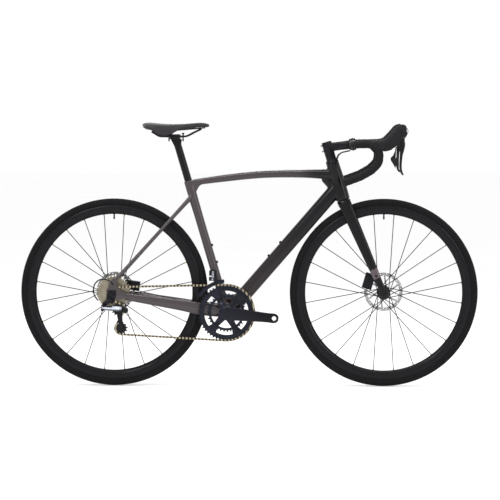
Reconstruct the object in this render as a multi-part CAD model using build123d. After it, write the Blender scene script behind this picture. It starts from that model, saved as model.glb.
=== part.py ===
from build123d import *
import math
import os

# Road bicycle with disc brakes and a 2 x 11 drivetrain.
# Frame of the part: +X forwards, +Y to the rider's left, +Z up. The drive side is at -Y.
# The origin is on the ground, midway between the two wheel contact points.

os.makedirs("parts", exist_ok=True)

# ---------------------------------------------------------------- driving dimensions, mm
WHEEL_R = 340.0          # outside of a 700 x 28 tyre
TYRE_R = 14.0            # tyre section radius
REAR_X = -488.6          # rear axle
FRONT_X = 488.6          # front axle
AXLE_Z = 340.0
RIM_TOP = 316.0
RIM_IN = 283.3
BB_X, BB_Z = -79.0, 269.0        # crank axis
SEAT_ANGLE = 16.4                # seat tube, degrees back from vertical
SEAT_TOP_Z = 744.5
POST_R = 13.6                    # 27.2 mm seatpost
HEAD_SLOPE = 0.2981              # steering axis, X per Z
HEAD_X0 = 442.3                  # steering axis X at axle height
HEAD_BOT_Z, HEAD_TOP_Z = 675.2, 809.0
FORK_RAKE = 44.4
CRANK_LEN = 172.5
CRANK_ANGLE = -6.1               # degrees above horizontal, forwards
PEDAL_R = 7.14                   # 9/16 in pedal thread
BAR_HALF = 210.0                 # half width of the handlebar drops
FRONT_OLD, REAR_OLD = 100.0, 142.0
ROTOR_R = 70.0
ROTOR_T = 1.8
FRONT_ROTOR_Y, REAR_ROTOR_Y = 39.6, 55.8
PITCH = 12.7                     # chain pitch
BIG_T, SMALL_T = 50, 34
COGS = [11, 12, 13, 14, 15, 17, 19, 21, 24, 27, 30]
COG_Y0, COG_STEP = -66.0, 3.73   # smallest sprocket plane and spacing
BIG_Y, SMALL_Y = -47.0, -39.5
PULLEY_Y = -66.0
SPOKES = 24
CL = 0.05                        # running clearance on a radius

HEAD_DIR = Vector(-HEAD_SLOPE, 0, 1).normalized()      # up along the steering axis
SEAT_DIR = Vector(-math.sin(math.radians(SEAT_ANGLE)), 0, math.cos(math.radians(SEAT_ANGLE)))
BB = Vector(BB_X, 0, BB_Z)


def head_pt(z, y=0.0):
    """Point of the steering axis at height z."""
    return Vector(HEAD_X0 - (z - AXLE_Z) * HEAD_SLOPE, y, z)


def seat_pt(z, y=0.0):
    """Point of the seat tube axis at height z."""
    return Vector(BB_X - (z - BB_Z) * math.tan(math.radians(SEAT_ANGLE)), y, z)


# ---------------------------------------------------------------- helpers
def vec(p):
    return p if isinstance(p, Vector) else Vector(*p)


def sol(x):
    """Every solid of a shape or of a list of shapes."""
    if isinstance(x, (list, tuple)):
        out = []
        for i in x:
            out += sol(i)
        return out
    return list(x.solids())


def cut(a, *tools):
    t = sol(list(tools))
    out = []
    for s in sol(a):
        out += sol(s.cut(*t)) if t else [s]
    return out


def fuse(*xs):
    s = sol(list(xs))
    return sol(s[0].fuse(*s[1:])) if len(s) > 1 else s


def common(a, b):
    out = []
    for s in sol(a):
        for t in sol(b):
            r = s.intersect(t)
            if r is not None:
                out += sol(r)
    return out


def mirror_y(x):
    return [s.mirror(Plane.XZ) for s in sol(x)]


def cyl(p0, p1, r):
    p0, p1 = vec(p0), vec(p1)
    d = p1 - p0
    return Solid.make_cylinder(r, d.length, Plane(origin=p0, z_dir=d.normalized()))


def cone(p0, p1, r0, r1):
    p0, p1 = vec(p0), vec(p1)
    d = p1 - p0
    return Solid.make_cone(r0, r1, d.length, Plane(origin=p0, z_dir=d.normalized()))


def pipe(p0, p1, ro, ri):
    return cut(cyl(p0, p1, ro), cyl(p0, p1, ri))


def box(x0, x1, y0, y1, z0, z1):
    return Solid.make_box(x1 - x0, y1 - y0, z1 - z0, Plane(origin=(x0, y0, z0)))


def half(p, n, size=3000.0):
    """The half space behind the plane through p with normal n, as a large box."""
    pl = Plane(origin=vec(p), z_dir=vec(n).normalized())
    return Solid.make_box(size, size, size, Plane(origin=vec(p) - pl.x_dir * size / 2 - pl.y_dir * size / 2 - pl.z_dir * size, x_dir=pl.x_dir, z_dir=pl.z_dir))


def keep(a, p, n):
    """What is left of a behind the plane through p with normal n."""
    return common(a, half(p, n))


def oval(p, n, side, a, b, power=2.0, count=12):
    """Closed wire round p in the plane normal to n: a is the half size along side, b across it."""
    n = vec(n).normalized()
    side = vec(side)
    side = (side - n * side.dot(n)).normalized()
    up = n.cross(side)
    pts = []
    for i in range(count):
        t = 2 * math.pi * i / count
        c, s = math.cos(t), math.sin(t)
        k = (abs(c) ** power + abs(s) ** power) ** (-1.0 / power)
        pts.append(vec(p) + side * (a * c * k) + up * (b * s * k))
    return Wire([Edge.make_spline(pts, periodic=True)])


def tube_loft(stations, power=2.0, count=12, shrink=0.0, ruled=False):
    """Loft through (point, normal, side, a, b) stations."""
    return Solid.make_loft([oval(p, n, sd, a - shrink, b - shrink, power, count) for p, n, sd, a, b in stations], ruled)


def extrude_xz(points, y0, y1, spline=False):
    """Closed outline in the XZ plane, extruded from y0 to y1."""
    pts = [Vector(x, y0, z) for x, z in points]
    if spline:
        w = Wire([Edge.make_spline(pts, periodic=True)])
    else:
        w = Wire.make_polygon(pts, close=True)
    return Solid.extrude(Face(w), Vector(0, y1 - y0, 0))


def turned(points, x, z, y=0.0):
    """Solid of revolution about the line along Y through (x, z); points are (radius, y)."""
    pts = [Vector(x + r, yy + y, z) for r, yy in points]
    f = Face(Wire.make_polygon(pts, close=True))
    return Solid.revolve(f, 360, Axis((x, 0, z), (0, 1, 0)))


def sweep_round(points, radii, r, r_in=None):
    """Round rod, or tube, along straight runs joined by tangent arcs."""
    path = FilletPolyline(*[tuple(p) for p in points], radius=radii).wire()
    pl = Plane(origin=path @ 0, z_dir=path % 0)
    w = Wire.make_circle(r, pl)
    s = Solid.sweep(Face(w), path)
    return s if r_in is None else cut(s, Solid.sweep(Face(Wire.make_circle(r_in, pl)), path))


NODES = {}


def node(name, *shapes):
    s = sol(list(shapes))
    assert s, name
    NODES[name] = s


# ---------------------------------------------------------------- wheels
def wheel(prefix, x, left_flange, right_flange, half_width, rotor_y, rotor_spacing_r):
    """Tyre, rim, spokes, hub and rotor of one wheel about the axle at x."""
    z = AXLE_Z
    R = WHEEL_R - TYRE_R
    # tyre casing: a ring of round section with two beads inside the rim walls
    sk = Pos(R, 0) * Circle(TYRE_R) - Pos(R, 0) * Circle(TYRE_R - 2.6)
    sk += Pos(313.3, 7.9) * Rectangle(6.4, 2.8) + Pos(313.3, -7.9) * Rectangle(6.4, 2.8)
    sk -= Pos(R - 9, 0) * Rectangle(16, 13.0)
    sk -= Pos(308.0, 12.3) * Rectangle(16.2, 6.0) + Pos(308.0, -12.3) * Rectangle(16.2, 6.0)
    sk -= Pos(300.0, 0) * Rectangle(20.2, 40.0)
    tyre = revolve(sk, Axis.Y)
    tyre = Pos(x, 0, z) * tyre
    # rim: 30 mm deep aero section, hollow, with an open tyre channel
    half_pts = [(RIM_TOP, 11.4), (308, 12.2), (300, 12.0), (292, 9.0), (286, 5.2), (RIM_IN + 0.5, 2.4)]
    outline = half_pts + [(r, -y) for r, y in reversed(half_pts)]
    outer = make_face(Polyline(*outline, close=True))
    cav = [(304.5, 9.8), (300, 9.9), (292.8, 7.4), (287.6, 3.6), (286.4, 1.6)]
    cav = cav + [(r, -y) for r, y in reversed(cav)]
    rimsk = outer - Pos(313.5, 0) * Rectangle(7.0, 18.7) - Pos(309.0, 0) * Rectangle(4.0, 9.0)
    rimsk -= make_face(Polyline(*cav, close=True))
    rim = Pos(x, 0, z) * revolve(rimsk, Axis.Y)
    valve = fuse(cyl((x, 0, z + RIM_IN - 16), (x, 0, z + RIM_IN + 6), 2.6), cyl((x, 0, z + RIM_IN - 30), (x, 0, z + RIM_IN - 16), 3.2))
    # hub shell with two flanges, centre-lock seat on the left, running bore for the axle
    fl, fr = left_flange, right_flange
    hw = half_width
    prof = [(6.0 + CL, -hw), (9.5, -hw), (9.5, -hw + 5), (12.5, -hw + 6), (13.0, fr - 3.5), (23.5, fr - 1.6), (23.5, fr + 1.6), (12.5, fr + 6),
            (10.5, (fr + fl) / 2), (13.0, fl - 6), (23.5, fl - 1.6), (23.5, fl + 1.6), (17.0, fl + 3.5), (17.0, rotor_y - 1.2), (15.5, rotor_y - 1.2), (15.5, rotor_y + 4.0), (9.5, rotor_y + 4.2), (9.5, hw), (6.0 + CL, hw)]
    hub = turned(prof, x, z)
    # spokes cross twice; the flange side alternates and the lean alternates by pairs
    sp = []
    for i in range(SPOKES):
        a = math.radians(7.5 + 15.0 * i)
        side = fl if i % 2 else fr
        lean = 1 if (i // 2) % 2 else -1
        b = a + lean * math.radians(60)
        y0 = side + (1.0 if (i // 2) % 2 else -1.0)
        p0 = Vector(x + 21.0 * math.cos(b), y0, z + 21.0 * math.sin(b))
        p1 = Vector(x + (RIM_IN - 9.0) * math.cos(a), 0.25 * (1 if side > 0 else -1), z + (RIM_IN - 9.0) * math.sin(a))
        p2 = Vector(x + (RIM_IN + 2.5) * math.cos(a), 0, z + (RIM_IN + 2.5) * math.sin(a))
        sp.append(cyl(p0, p1, 1.0))
        sp.append(cyl(p1, p2, 1.7))
    # disc rotor: braking ring, six swept arms and a centre carrier
    ring = Circle(ROTOR_R) - Circle(57.5)
    for i in range(36):
        t = math.radians(10 * i)
        rr = (60.2, 63.8, 67.2)[i % 3]
        ring -= Pos(rr * math.cos(t), rr * math.sin(t)) * Circle(1.9)
    for i in range(6):
        t0 = math.radians(60 * i)
        t1 = t0 + math.radians(26)
        a0 = Vector(20 * math.cos(t0), 20 * math.sin(t0))
        a1 = Vector(58.6 * math.cos(t1), 58.6 * math.sin(t1))
        d = a1 - a0
        ang = math.degrees(math.atan2(d.Y, d.X))
        mid = (a0 + a1) / 2
        ring += Pos(mid.X, mid.Y) * Rot(0, 0, ang) * Rectangle(d.length, 6.2)
    ring += Circle(25.0)
    ring -= Circle(15.5 + CL)
    rot = extrude(ring, amount=ROTOR_T / 2, both=True)
    rot = Pos(x, rotor_y, z) * Rot(90, 0, 0) * rot
    lockring = cut(cyl((x, rotor_y + 0.95, z), (x, rotor_y + 3.9, z), 20.0), cyl((x, rotor_y + 0.5, z), (x, rotor_y + 5, z), 15.5 + CL))
    node(prefix + "_tyre", tyre)
    node(prefix + "_rim", rim, valve)
    node(prefix + "_spokes", sp)
    node(prefix + "_hub", hub)
    node(prefix + "_brake_rotor", rot, lockring)


wheel("front", FRONT_X, 21.0, -33.0, FRONT_OLD / 2, FRONT_ROTOR_Y, 16)
wheel("rear", REAR_X, 32.0, -17.5, REAR_OLD / 2, REAR_ROTOR_Y, 16)


# ---------------------------------------------------------------- frame
Y1 = Vector(0, 1, 0)
DT_DIR = Vector(0.655, 0, 0.756).normalized()
DT_MID = Vector(114.7, 0, 482.0)


def dt(t):
    return DT_MID + DT_DIR * t


TT_LINE = [(-214, 736, 15, 12), (-150, 745.5, 15, 12.6), (-80, 754.5, 15.5, 13.5), (-10, 762.5, 16, 13.8), (60, 768, 17, 14), (140, 770, 19, 14.5), (220, 770, 21, 16.2), (300, 769, 22, 19)]


def top_tube_shape(shrink=0.0):
    st = []
    for i, (x, z, a, b) in enumerate(TT_LINE):
        j, k = max(i - 1, 0), min(i + 1, len(TT_LINE) - 1)
        n = Vector(TT_LINE[k][0] - TT_LINE[j][0], 0, TT_LINE[k][1] - TT_LINE[j][1])
        st.append((Vector(x, 0, z), n, Y1, a, b))
    return tube_loft(st, 2.4, shrink=shrink)


def down_tube_shape(shrink=0.0):
    st = [(dt(t), DT_DIR, Y1, a, b) for t, a, b in [(-292, 30, 26), (-200, 26, 26.5), (-60, 24, 26.5), (120, 23, 26.5), (250, 23, 26.5), (318, 22, 26)]]
    return tube_loft(st, 2.6, shrink=shrink)


def seat_tube_shape():
    st = [(BB + SEAT_DIR * t, SEAT_DIR, Y1, a, b) for t, a, b in [(8, 26, 17), (70, 18, 16), (200, 16, 16), (350, 16, 16), (440, 17, 17), ((SEAT_TOP_Z - BB_Z) / SEAT_DIR.Z, 17, 17)]]
    return tube_loft(st)


TT, TTi = top_tube_shape(), top_tube_shape(2.2)
DT, DTi = down_tube_shape(), down_tube_shape(2.4)
ST = seat_tube_shape()
head_len = (HEAD_TOP_Z - HEAD_BOT_Z) / HEAD_DIR.Z
HB, HT = head_pt(HEAD_BOT_Z), head_pt(HEAD_TOP_Z)
HEAD = tube_loft([(HB + HEAD_DIR * t, HEAD_DIR, Y1, a, b) for t, a, b in [(0, 26, 25), (45, 24.5, 26), (95, 24, 25), (head_len, 23.5, 23.5)]])
head_bore = cyl(HB - HEAD_DIR * 10, HT + HEAD_DIR * 10, 21.0)
# tubes meet the lugs of their neighbours on flat cuts
P_TT_F, N_TT_F = Vector(262, 0, 770), Vector(1, 0, 0)
P_TT_R, N_TT_R = Vector(-163, 0, 742), Vector(1, 0, 0.12)
P_DT_F = dt(268)
P_DT_R = dt(-232)
P_ST_L = BB + SEAT_DIR * 52
P_ST_U = BB + SEAT_DIR * 395
gus = extrude_xz([(262, 757), (300, 757), (330, 700), (290.5, 716), (277, 734)], -17, 17)
head_tube = cut(fuse(HEAD, common(TT, half(P_TT_F, -N_TT_F)), common(DT, half(P_DT_F, -DT_DIR)), gus), head_bore)
head_tube = keep(keep(head_tube, HT, HEAD_DIR), HB, -HEAD_DIR)
node("head_tube", head_tube)
top_tube = cut(common(common(TT, half(P_TT_F, N_TT_F)), half(P_TT_R, -N_TT_R)), TTi)
node("top_tube", top_tube)
boss_dt = [DT_MID + DT_DIR * 30, DT_MID - DT_DIR * 34]
up_dt = DT_DIR.cross(Y1) * -1
up_dt = up_dt if up_dt.Z > 0 else up_dt * -1
dt_bosses = [cyl(p + up_dt * 20, p + up_dt * 27.6, 5.0) for p in boss_dt]
dt_holes = [cyl(p + up_dt * 15, p + up_dt * 40, 2.5) for p in boss_dt]
down_tube = cut(fuse(cut(common(common(DT, half(P_DT_F, DT_DIR)), half(P_DT_R, -DT_DIR)), DTi), *dt_bosses), *dt_holes)
node("down_tube", down_tube)
fwd_st = SEAT_DIR.cross(Y1)
fwd_st = fwd_st if fwd_st.X > 0 else fwd_st * -1
boss_st = [BB + SEAT_DIR * 184, BB + SEAT_DIR * 248]
st_holes = [cyl(p + fwd_st * 13.7, p + fwd_st * 40, 2.5) for p in boss_st]
st_bosses = [cyl(p + fwd_st * 14.5, p + fwd_st * 17.4, 5.0) for p in boss_st]
st_top = BB + SEAT_DIR * ((SEAT_TOP_Z - BB_Z) / SEAT_DIR.Z)
post_bore = cyl(BB + SEAT_DIR * 60, st_top + SEAT_DIR * 40, POST_R + CL)

STAY_C = [(-486, 337, 67.5, 6.2, 11), (-438, 327.5, 66, 6.4, 13), (-400, 321, 62, 6.8, 14.5), (-340, 311, 53, 7.6, 16.5), (-243.9, 295.1, 40.5, 9, 20), (-178.5, 283.1, 30.5, 9.5, 23.3), (-128, 276, 24.5, 10, 23), (-95, 272, 22, 10, 22)]
STAY_S = [(-486.5, 379, 68.5, 5.8, 7), (-440, 431, 60.5, 5.8, 6.7), (-360, 519, 46, 6, 6.7), (-290, 596, 33, 6.3, 6.8), (-240, 651, 23, 6.8, 7.6), (-205, 689, 15, 8, 9)]


def stay(line, s):
    st = []
    for i, (x, z, y, a, b) in enumerate(line):
        j, k = max(i - 1, 0), min(i + 1, len(line) - 1)
        n = Vector(line[k][0] - line[j][0], s * (line[k][2] - line[j][2]), line[k][1] - line[j][1])
        st.append((Vector(x, s * y, z), n, Y1, a, b))
    return tube_loft(st, 2.2)


BB_BORE = cyl((BB_X, -60, BB_Z), (BB_X, 60, BB_Z), 20.5)
BB_CYL = cyl((BB_X, -43.2, BB_Z), (BB_X, 43.2, BB_Z), 26.5)
P_CS = Vector(-158, 0, 279)
P_SS = Vector(-236, 0, 655)
SS_N = Vector(0.675, 0, 0.738)
seat_lug = [common(stay(STAY_S, s), half(P_SS, -SS_N)) for s in (1, -1)]
seat_cluster_gus = extrude_xz([(-200, 738), (-168, 732), (-190, 700), (-212, 690)], -11, 11)
seat_tube = fuse(common(ST, half(P_ST_L, -SEAT_DIR)), common(TT, half(P_TT_R, N_TT_R)), seat_cluster_gus, *st_bosses, *seat_lug)
seat_tube = cut(keep(seat_tube, st_top, SEAT_DIR), post_bore, *st_holes)
node("seat_tube", max(sol(seat_tube), key=lambda s: s.volume))
cs_stub = [common(stay(STAY_C, s), half(P_CS, (-1, 0, 0))) for s in (1, -1)]
tyre_room = cyl((REAR_X, -19, AXLE_Z), (REAR_X, 19, AXLE_Z), 347.0)
bb_shell = fuse(BB_CYL, common(DT, half(P_DT_R, DT_DIR)), common(ST, half(P_ST_L, SEAT_DIR)), *cs_stub)
bb_shell = cut(bb_shell, BB_BORE, tyre_room, box(-250, 100, 43.2, 90, 150, 420), box(-250, 100, -90, -43.2, 150, 420))
node("bottom_bracket_shell", max(sol(bb_shell), key=lambda s: s.volume))
drop = [(-507, 326), (-507, 352), (-497, 384), (-486, 395), (-474, 392), (-471, 362), (-452, 345), (-440, 338), (-440, 318), (-470, 318), (-495, 318)]
axle_hole = cyl((REAR_X, -120, AXLE_Z), (REAR_X, 120, AXLE_Z), 6.0 + CL)
stays = []
for s in (1, -1):
    y0, y1 = (71.05, 77.0) if s > 0 else (-77.0, -71.05)
    plate = extrude_xz(drop, y0, y1)
    hub_room = cyl((REAR_X, s * 50, AXLE_Z), (REAR_X, s * 71.05, AXLE_Z), 33.0)
    cs = common(stay(STAY_C, s), half(P_CS, (1, 0, 0)))
    ss = common(stay(STAY_S, s), half(P_SS, SS_N))
    one = cut(fuse(plate, cs, ss), axle_hole, hub_room, tyre_room)
    stays.append(max(sol(one), key=lambda q: q.volume))
node("rear_stays", stays)
hanger = cut(extrude_xz([(-503, 352), (-476, 352), (-476, 330), (-486, 304), (-510, 304), (-511, 325)], -82.0, -77.05), axle_hole, cyl((-499, -100, 315), (-499, -60, 315), 4.0 + CL))
node("derailleur_hanger", hanger)
node("rear_thru_axle", fuse(cyl((REAR_X, -85, AXLE_Z), (REAR_X, 77.1, AXLE_Z), 6.0), cyl((REAR_X, 77.05, AXLE_Z), (REAR_X, 81, AXLE_Z), 9.0)))
# bottom bracket and headset bearings
node("frame_bearings", [pipe((BB_X, s * 32, BB_Z), (BB_X, s * 43.2, BB_Z), 20.5, 12.0 + CL) for s in (1, -1)], pipe(HB, HB + HEAD_DIR * 8, 21.0, 15.0 + CL), pipe(HT - HEAD_DIR * 8, HT, 21.0, 14.3 + CL))
bolts = []
for p, d, k in [(boss_dt[0], up_dt, 27.6), (boss_dt[1], up_dt, 27.6), (boss_st[0], fwd_st, 17.4), (boss_st[1], fwd_st, 17.4)]:
    bolts.append(fuse(cyl(p + d * (k - 2.4), p + d * k, 2.45), cyl(p + d * k, p + d * (k + 2.8), 4.4)))
node("bottle_bolts", bolts)

# ---------------------------------------------------------------- seatpost and saddle
post = cyl(seat_pt(620), seat_pt(878), POST_R)
post = fuse(post, extrude_xz([(-268, 868), (-246, 868), (-241.5, 894.9), (-282, 894.9)], -12.4, 12.4))
node("seatpost", cut(post, cyl(seat_pt(615), seat_pt(858), POST_R - 2.2)))
rails_c = []
for s in (1, -1):
    path = [(-350, s * 20, 921.8), (-322, s * 21.5, 905), (-290, s * 22, 904.5), (-225, s * 22, 904.5), (-197, s * 16, 919.5), (-172, s * 9, 931.2)]
    rails_c.append(sweep_round(path, [25, 60, 40, 60], 3.5))
node("saddle_rails", rails_c)
rail_room = [cyl((-300, s * 22, 904.5), (-240, s * 22, 904.5), 3.6) for s in (1, -1)]
clamp = [cut(box(-284, -248, -29, 29, 895.05, 903.9), rail_room), cut(box(-284, -248, -29, 29, 905.1, 912.5), rail_room)]
seat_bolts = [fuse(cyl((x, 0, 887), (x, 0, 918), 2.5), cyl((x, 0, 912.6), (x, 0, 917), 4.5)) for x in (-288.7, -237.6)]
node("saddle_clamp", clamp, seat_bolts)
SAD = [(-383, 940, 30, 8), (-372, 944, 62, 11), (-345, 940, 74, 12), (-305, 937, 71, 11.5), (-265, 938.5, 52, 9.5), (-225, 941, 33, 9), (-185, 944.5, 23, 9.5), (-155, 944, 19, 8.5), (-143, 942, 10, 4)]
cover_sk = [((x, 0, z), (1, 0, 0), Y1, a, b) for x, z, a, b in SAD]
pad = tube_loft(cover_sk, 2.3)
pad = sol(pad)
node("saddle_cover", pad)
shell = tube_loft([((-360, 0, 928), (1, 0, 0), Y1, 48, 3.0), ((-320, 0, 922.5), (1, 0, 0), Y1, 52, 3.0), ((-270, 0, 925), (1, 0, 0), Y1, 38, 3.0), ((-220, 0, 929), (1, 0, 0), Y1, 25, 2.6), ((-170, 0, 933.6), (1, 0, 0), Y1, 16, 2.0)], 2.3)
node("saddle_shell", cut(shell, pad, rails_c))

# ---------------------------------------------------------------- fork and steerer
def leg_pt(z, y):
    k = max(0.0, (HEAD_BOT_Z - z) / (HEAD_BOT_Z - AXLE_Z))
    return Vector(head_pt(z).X + FORK_RAKE * 1.0435 * k, y, z)


LEG = [(668, 26, 13, 24), (640, 31, 10.5, 23), (580, 38, 8.5, 21), (500, 46, 7.5, 18.5), (427, 52, 7, 15.5), (375, 55.2, 5.6, 13), (345, 55.6, 5.4, 13)]
legs = []
for s in (1, -1):
    st = []
    for i, (z, y, a, b) in enumerate(LEG):
        j, k = max(i - 1, 0), min(i + 1, len(LEG) - 1)
        st.append((leg_pt(z, s * y), leg_pt(LEG[j][0], s * LEG[j][1]) - leg_pt(LEG[k][0], s * LEG[k][1]), Y1, a, b))
    legs.append(tube_loft(st, 2.3))
    legs.append(cyl((FRONT_X, s * 50.05, AXLE_Z), (FRONT_X, s * 60.5, AXLE_Z), 17.0))
cb = HB - HEAD_DIR * 0.6
crown = tube_loft([(cb - HEAD_DIR * 22, HEAD_DIR, Y1, 38, 23), (cb - HEAD_DIR * 10, HEAD_DIR, Y1, 33, 25), (cb, HEAD_DIR, Y1, 26, 25)], 2.6)
steerer = fuse(cyl(cb - HEAD_DIR * 2, HB + HEAD_DIR * 30, 15.0), cyl(HB + HEAD_DIR * 30, head_pt(880.0), 14.3))
fork = fuse(crown, steerer, *legs)
fork = cut(fork, cyl((FRONT_X, -18, AXLE_Z), (FRONT_X, 18, AXLE_Z), 346.0), cyl((FRONT_X, -100, AXLE_Z), (FRONT_X, 100, AXLE_Z), 6.0 + CL),
           cyl((FRONT_X, -50.05, AXLE_Z), (FRONT_X, 50.05, AXLE_Z), 24.0), cyl(HB - HEAD_DIR * 40, head_pt(890.0), 11.6))
node("fork", max(sol(fork), key=lambda q: q.volume))
node("front_thru_axle", fuse(cyl((FRONT_X, -60.4, AXLE_Z), (FRONT_X, 61.2, AXLE_Z), 6.0), cyl((FRONT_X, 61.1, AXLE_Z), (FRONT_X, 64.5, AXLE_Z), 9.0)))

# ---------------------------------------------------------------- headset cover, spacers, stem
s0 = HT + HEAD_DIR * 0.5
cover = cut(cone(s0, s0 + HEAD_DIR * 11, 24.5, 20.5), cyl(HB, head_pt(900.0), 14.3 + CL))
sp1 = pipe(s0 + HEAD_DIR * 11.05, s0 + HEAD_DIR * 21, 18.2, 14.3 + CL)
sp2 = pipe(s0 + HEAD_DIR * 21.05, s0 + HEAD_DIR * 31, 18.2, 14.3 + CL)
node("headset_spacers", cover, sp1, sp2)
BAR = Vector(376.0, 0, 876.6)
cs0, cs1 = s0 + HEAD_DIR * 31.05, s0 + HEAD_DIR * 76
stem_body = fuse(cyl(cs0, cs1, 18.4), tube_loft([(Vector(288, 0, 865.5), (1, 0, 0.11), Y1, 15, 17), (Vector(325, 0, 870.5), (1, 0, 0.11), Y1, 13.5, 15.5), (Vector(366, 0, 875.5), (1, 0, 0.11), Y1, 20, 17)], 2.6),
                 cut(cyl(BAR - Y1 * 22, BAR + Y1 * 22, 20.5), half(BAR - Vector(0.3, 0, 0), (-1, 0, -0.11))))
stem_body = cut(stem_body, cyl(HB, head_pt(960.0), 14.3 + CL), cyl(BAR - Y1 * 60, BAR + Y1 * 60, 15.9 + CL), half(BAR - Vector(0.3, 0, 0), (-1, 0, -0.11)))
face = cut(cyl(BAR - Y1 * 22, BAR + Y1 * 22, 20.5), cyl(BAR - Y1 * 60, BAR + Y1 * 60, 15.9 + CL), half(BAR + Vector(0.3, 0, 0), (1, 0, 0.11)))
bolt_dirs, sbolts, sholes = Vector(1, 0, 0.11).normalized(), [], []
upb = Vector(-0.11, 0, 1).normalized()
for k in (1, -1):
    for y in (16.5, -16.5):
        c = BAR + upb * (18.4 * k) + Y1 * y
        sbolts.append(fuse(cyl(c - bolt_dirs * 12, c + bolt_dirs * 6.2, 1.9), cyl(c + bolt_dirs * 6.2, c + bolt_dirs * 9.6, 3.2)))
        sholes.append(fuse(cyl(c - bolt_dirs * 12.05, c + bolt_dirs * 20, 1.95), cyl(c + bolt_dirs * 6.15, c + bolt_dirs * 20, 3.25)))
ears = [cut(cyl(BAR + upb * (18.4 * k) - Y1 * 20.5, BAR + upb * (18.4 * k) + Y1 * 20.5, 4.6)) for k in (1, -1)]
stem_body = fuse(stem_body, cut(ears, cyl(BAR - Y1 * 60, BAR + Y1 * 60, 15.9 + CL), half(BAR - Vector(0.3, 0, 0), (-1, 0, -0.11))))
face = fuse(face, cut(ears, cyl(BAR - Y1 * 60, BAR + Y1 * 60, 15.9 + CL), half(BAR + Vector(0.3, 0, 0), (1, 0, 0.11))))
cap = cyl(cs1 + HEAD_DIR * 0.05, cs1 + HEAD_DIR * 3.2, 17.0)
node("stem", cut(stem_body, sholes), cap)
# faceplate with its four bolts, and the two steerer clamp bolts
node("stem_faceplate", cut(face, sholes), sbolts, [cyl(head_pt(z) + Vector(-22.4, -15, 0), head_pt(z) + Vector(-22.4, 15, 0), 2.6) for z in (850, 870)])

# ---------------------------------------------------------------- handlebar, tape, levers
BAR_R = 11.9
TOP_X, TOP_Z = 376.0, 876.6


def bar_points(s):
    h = BAR_HALF * s
    return [(TOP_X, 0, TOP_Z), (TOP_X, h * 0.45, TOP_Z), (378, h * 0.8, TOP_Z + 0.6), (394, h * 0.985, TOP_Z + 2), (438, h, 879), (470, h, 848), (466, h, 812), (440, h, 786), (402, h, 764.5), (347, h, 744.2)]


BAR_RAD = [220, 55, 28, 24, 26, 34, 60, 120]
TAPE_R = 14.2
bars, tapes, tape_room = [], [], []
for s in (1, -1):
    path = FilletPolyline(*bar_points(s), radius=BAR_RAD).wire()
    pl = Plane(origin=path @ 0, z_dir=path % 0)
    bars.append(Solid.sweep(Face(Wire.make_circle(BAR_R, pl)), path))
    L = path.length
    outer = Solid.sweep(Face(Wire.make_circle(TAPE_R, pl)), path)
    inner = Solid.sweep(Face(Wire.make_circle(BAR_R + 0.06, pl)), path)
    start = box(300, 460, *((62, 300) if s > 0 else (-300, -62)), 700, 950)
    tapes += sol(cut(common(outer, fuse(start, box(380, 520, *((100, 300) if s > 0 else (-300, -100)), 700, 950))), inner))
    tape_room.append(Solid.sweep(Face(Wire.make_circle(TAPE_R + 0.1, pl)), path))
bar = fuse(bars[0], bars[1], cyl((TOP_X, -32, TOP_Z), (TOP_X, 32, TOP_Z), 15.9), cone((TOP_X, 32, TOP_Z), (TOP_X, 58, TOP_Z), 15.9, BAR_R), cone((TOP_X, -32, TOP_Z), (TOP_X, -58, TOP_Z), 15.9, BAR_R))
node("handlebar", bar)
END0, END1 = Vector(347, 0, 744.2), Vector(402, 0, 764.5)
ed = (END0 - END1).normalized()
plugs = [cyl(END0 + ed * 0.1 + Y1 * (s * BAR_HALF), END0 + ed * 3.5 + Y1 * (s * BAR_HALF), 13.6) for s in (1, -1)]
node("bar_tape", tapes, plugs)

LEVER_Y = 212.0
PIV = Vector(552.8, 0, 913.5)
HOOD = [(437.7, 893.4), (467.9, 896.9), (496.6, 903.5), (508.1, 913.5), (516.7, 935), (524, 948.2), (534, 953.4), (544.1, 954.4), (555.6, 948.2), (566.3, 936.4), (568.4, 923.6), (563, 912), (538.2, 890.6), (520.9, 871.9), (500.8, 861.8), (482.1, 850.1), (470, 848), (440, 880)]
LEVER = [(557.5, 899), (555.5, 896.2), (559.5, 877.5), (553.3, 856), (547.6, 819.9), (546.3, 791.1), (553.2, 773.5), (546.5, 771.5), (538.2, 788), (537.5, 812), (538.5, 847.3), (541.6, 863.2), (545.2, 893), (546.0, 899)]
PADDLE = [(540.2, 865), (535.5, 865), (533, 846), (524, 829), (516.7, 824.4), (518.1, 814.4), (528, 799), (536.2, 784), (536.6, 812), (537.4, 847)]
hoods, blocks, blades, paddles = [], {}, {}, {}
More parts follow.
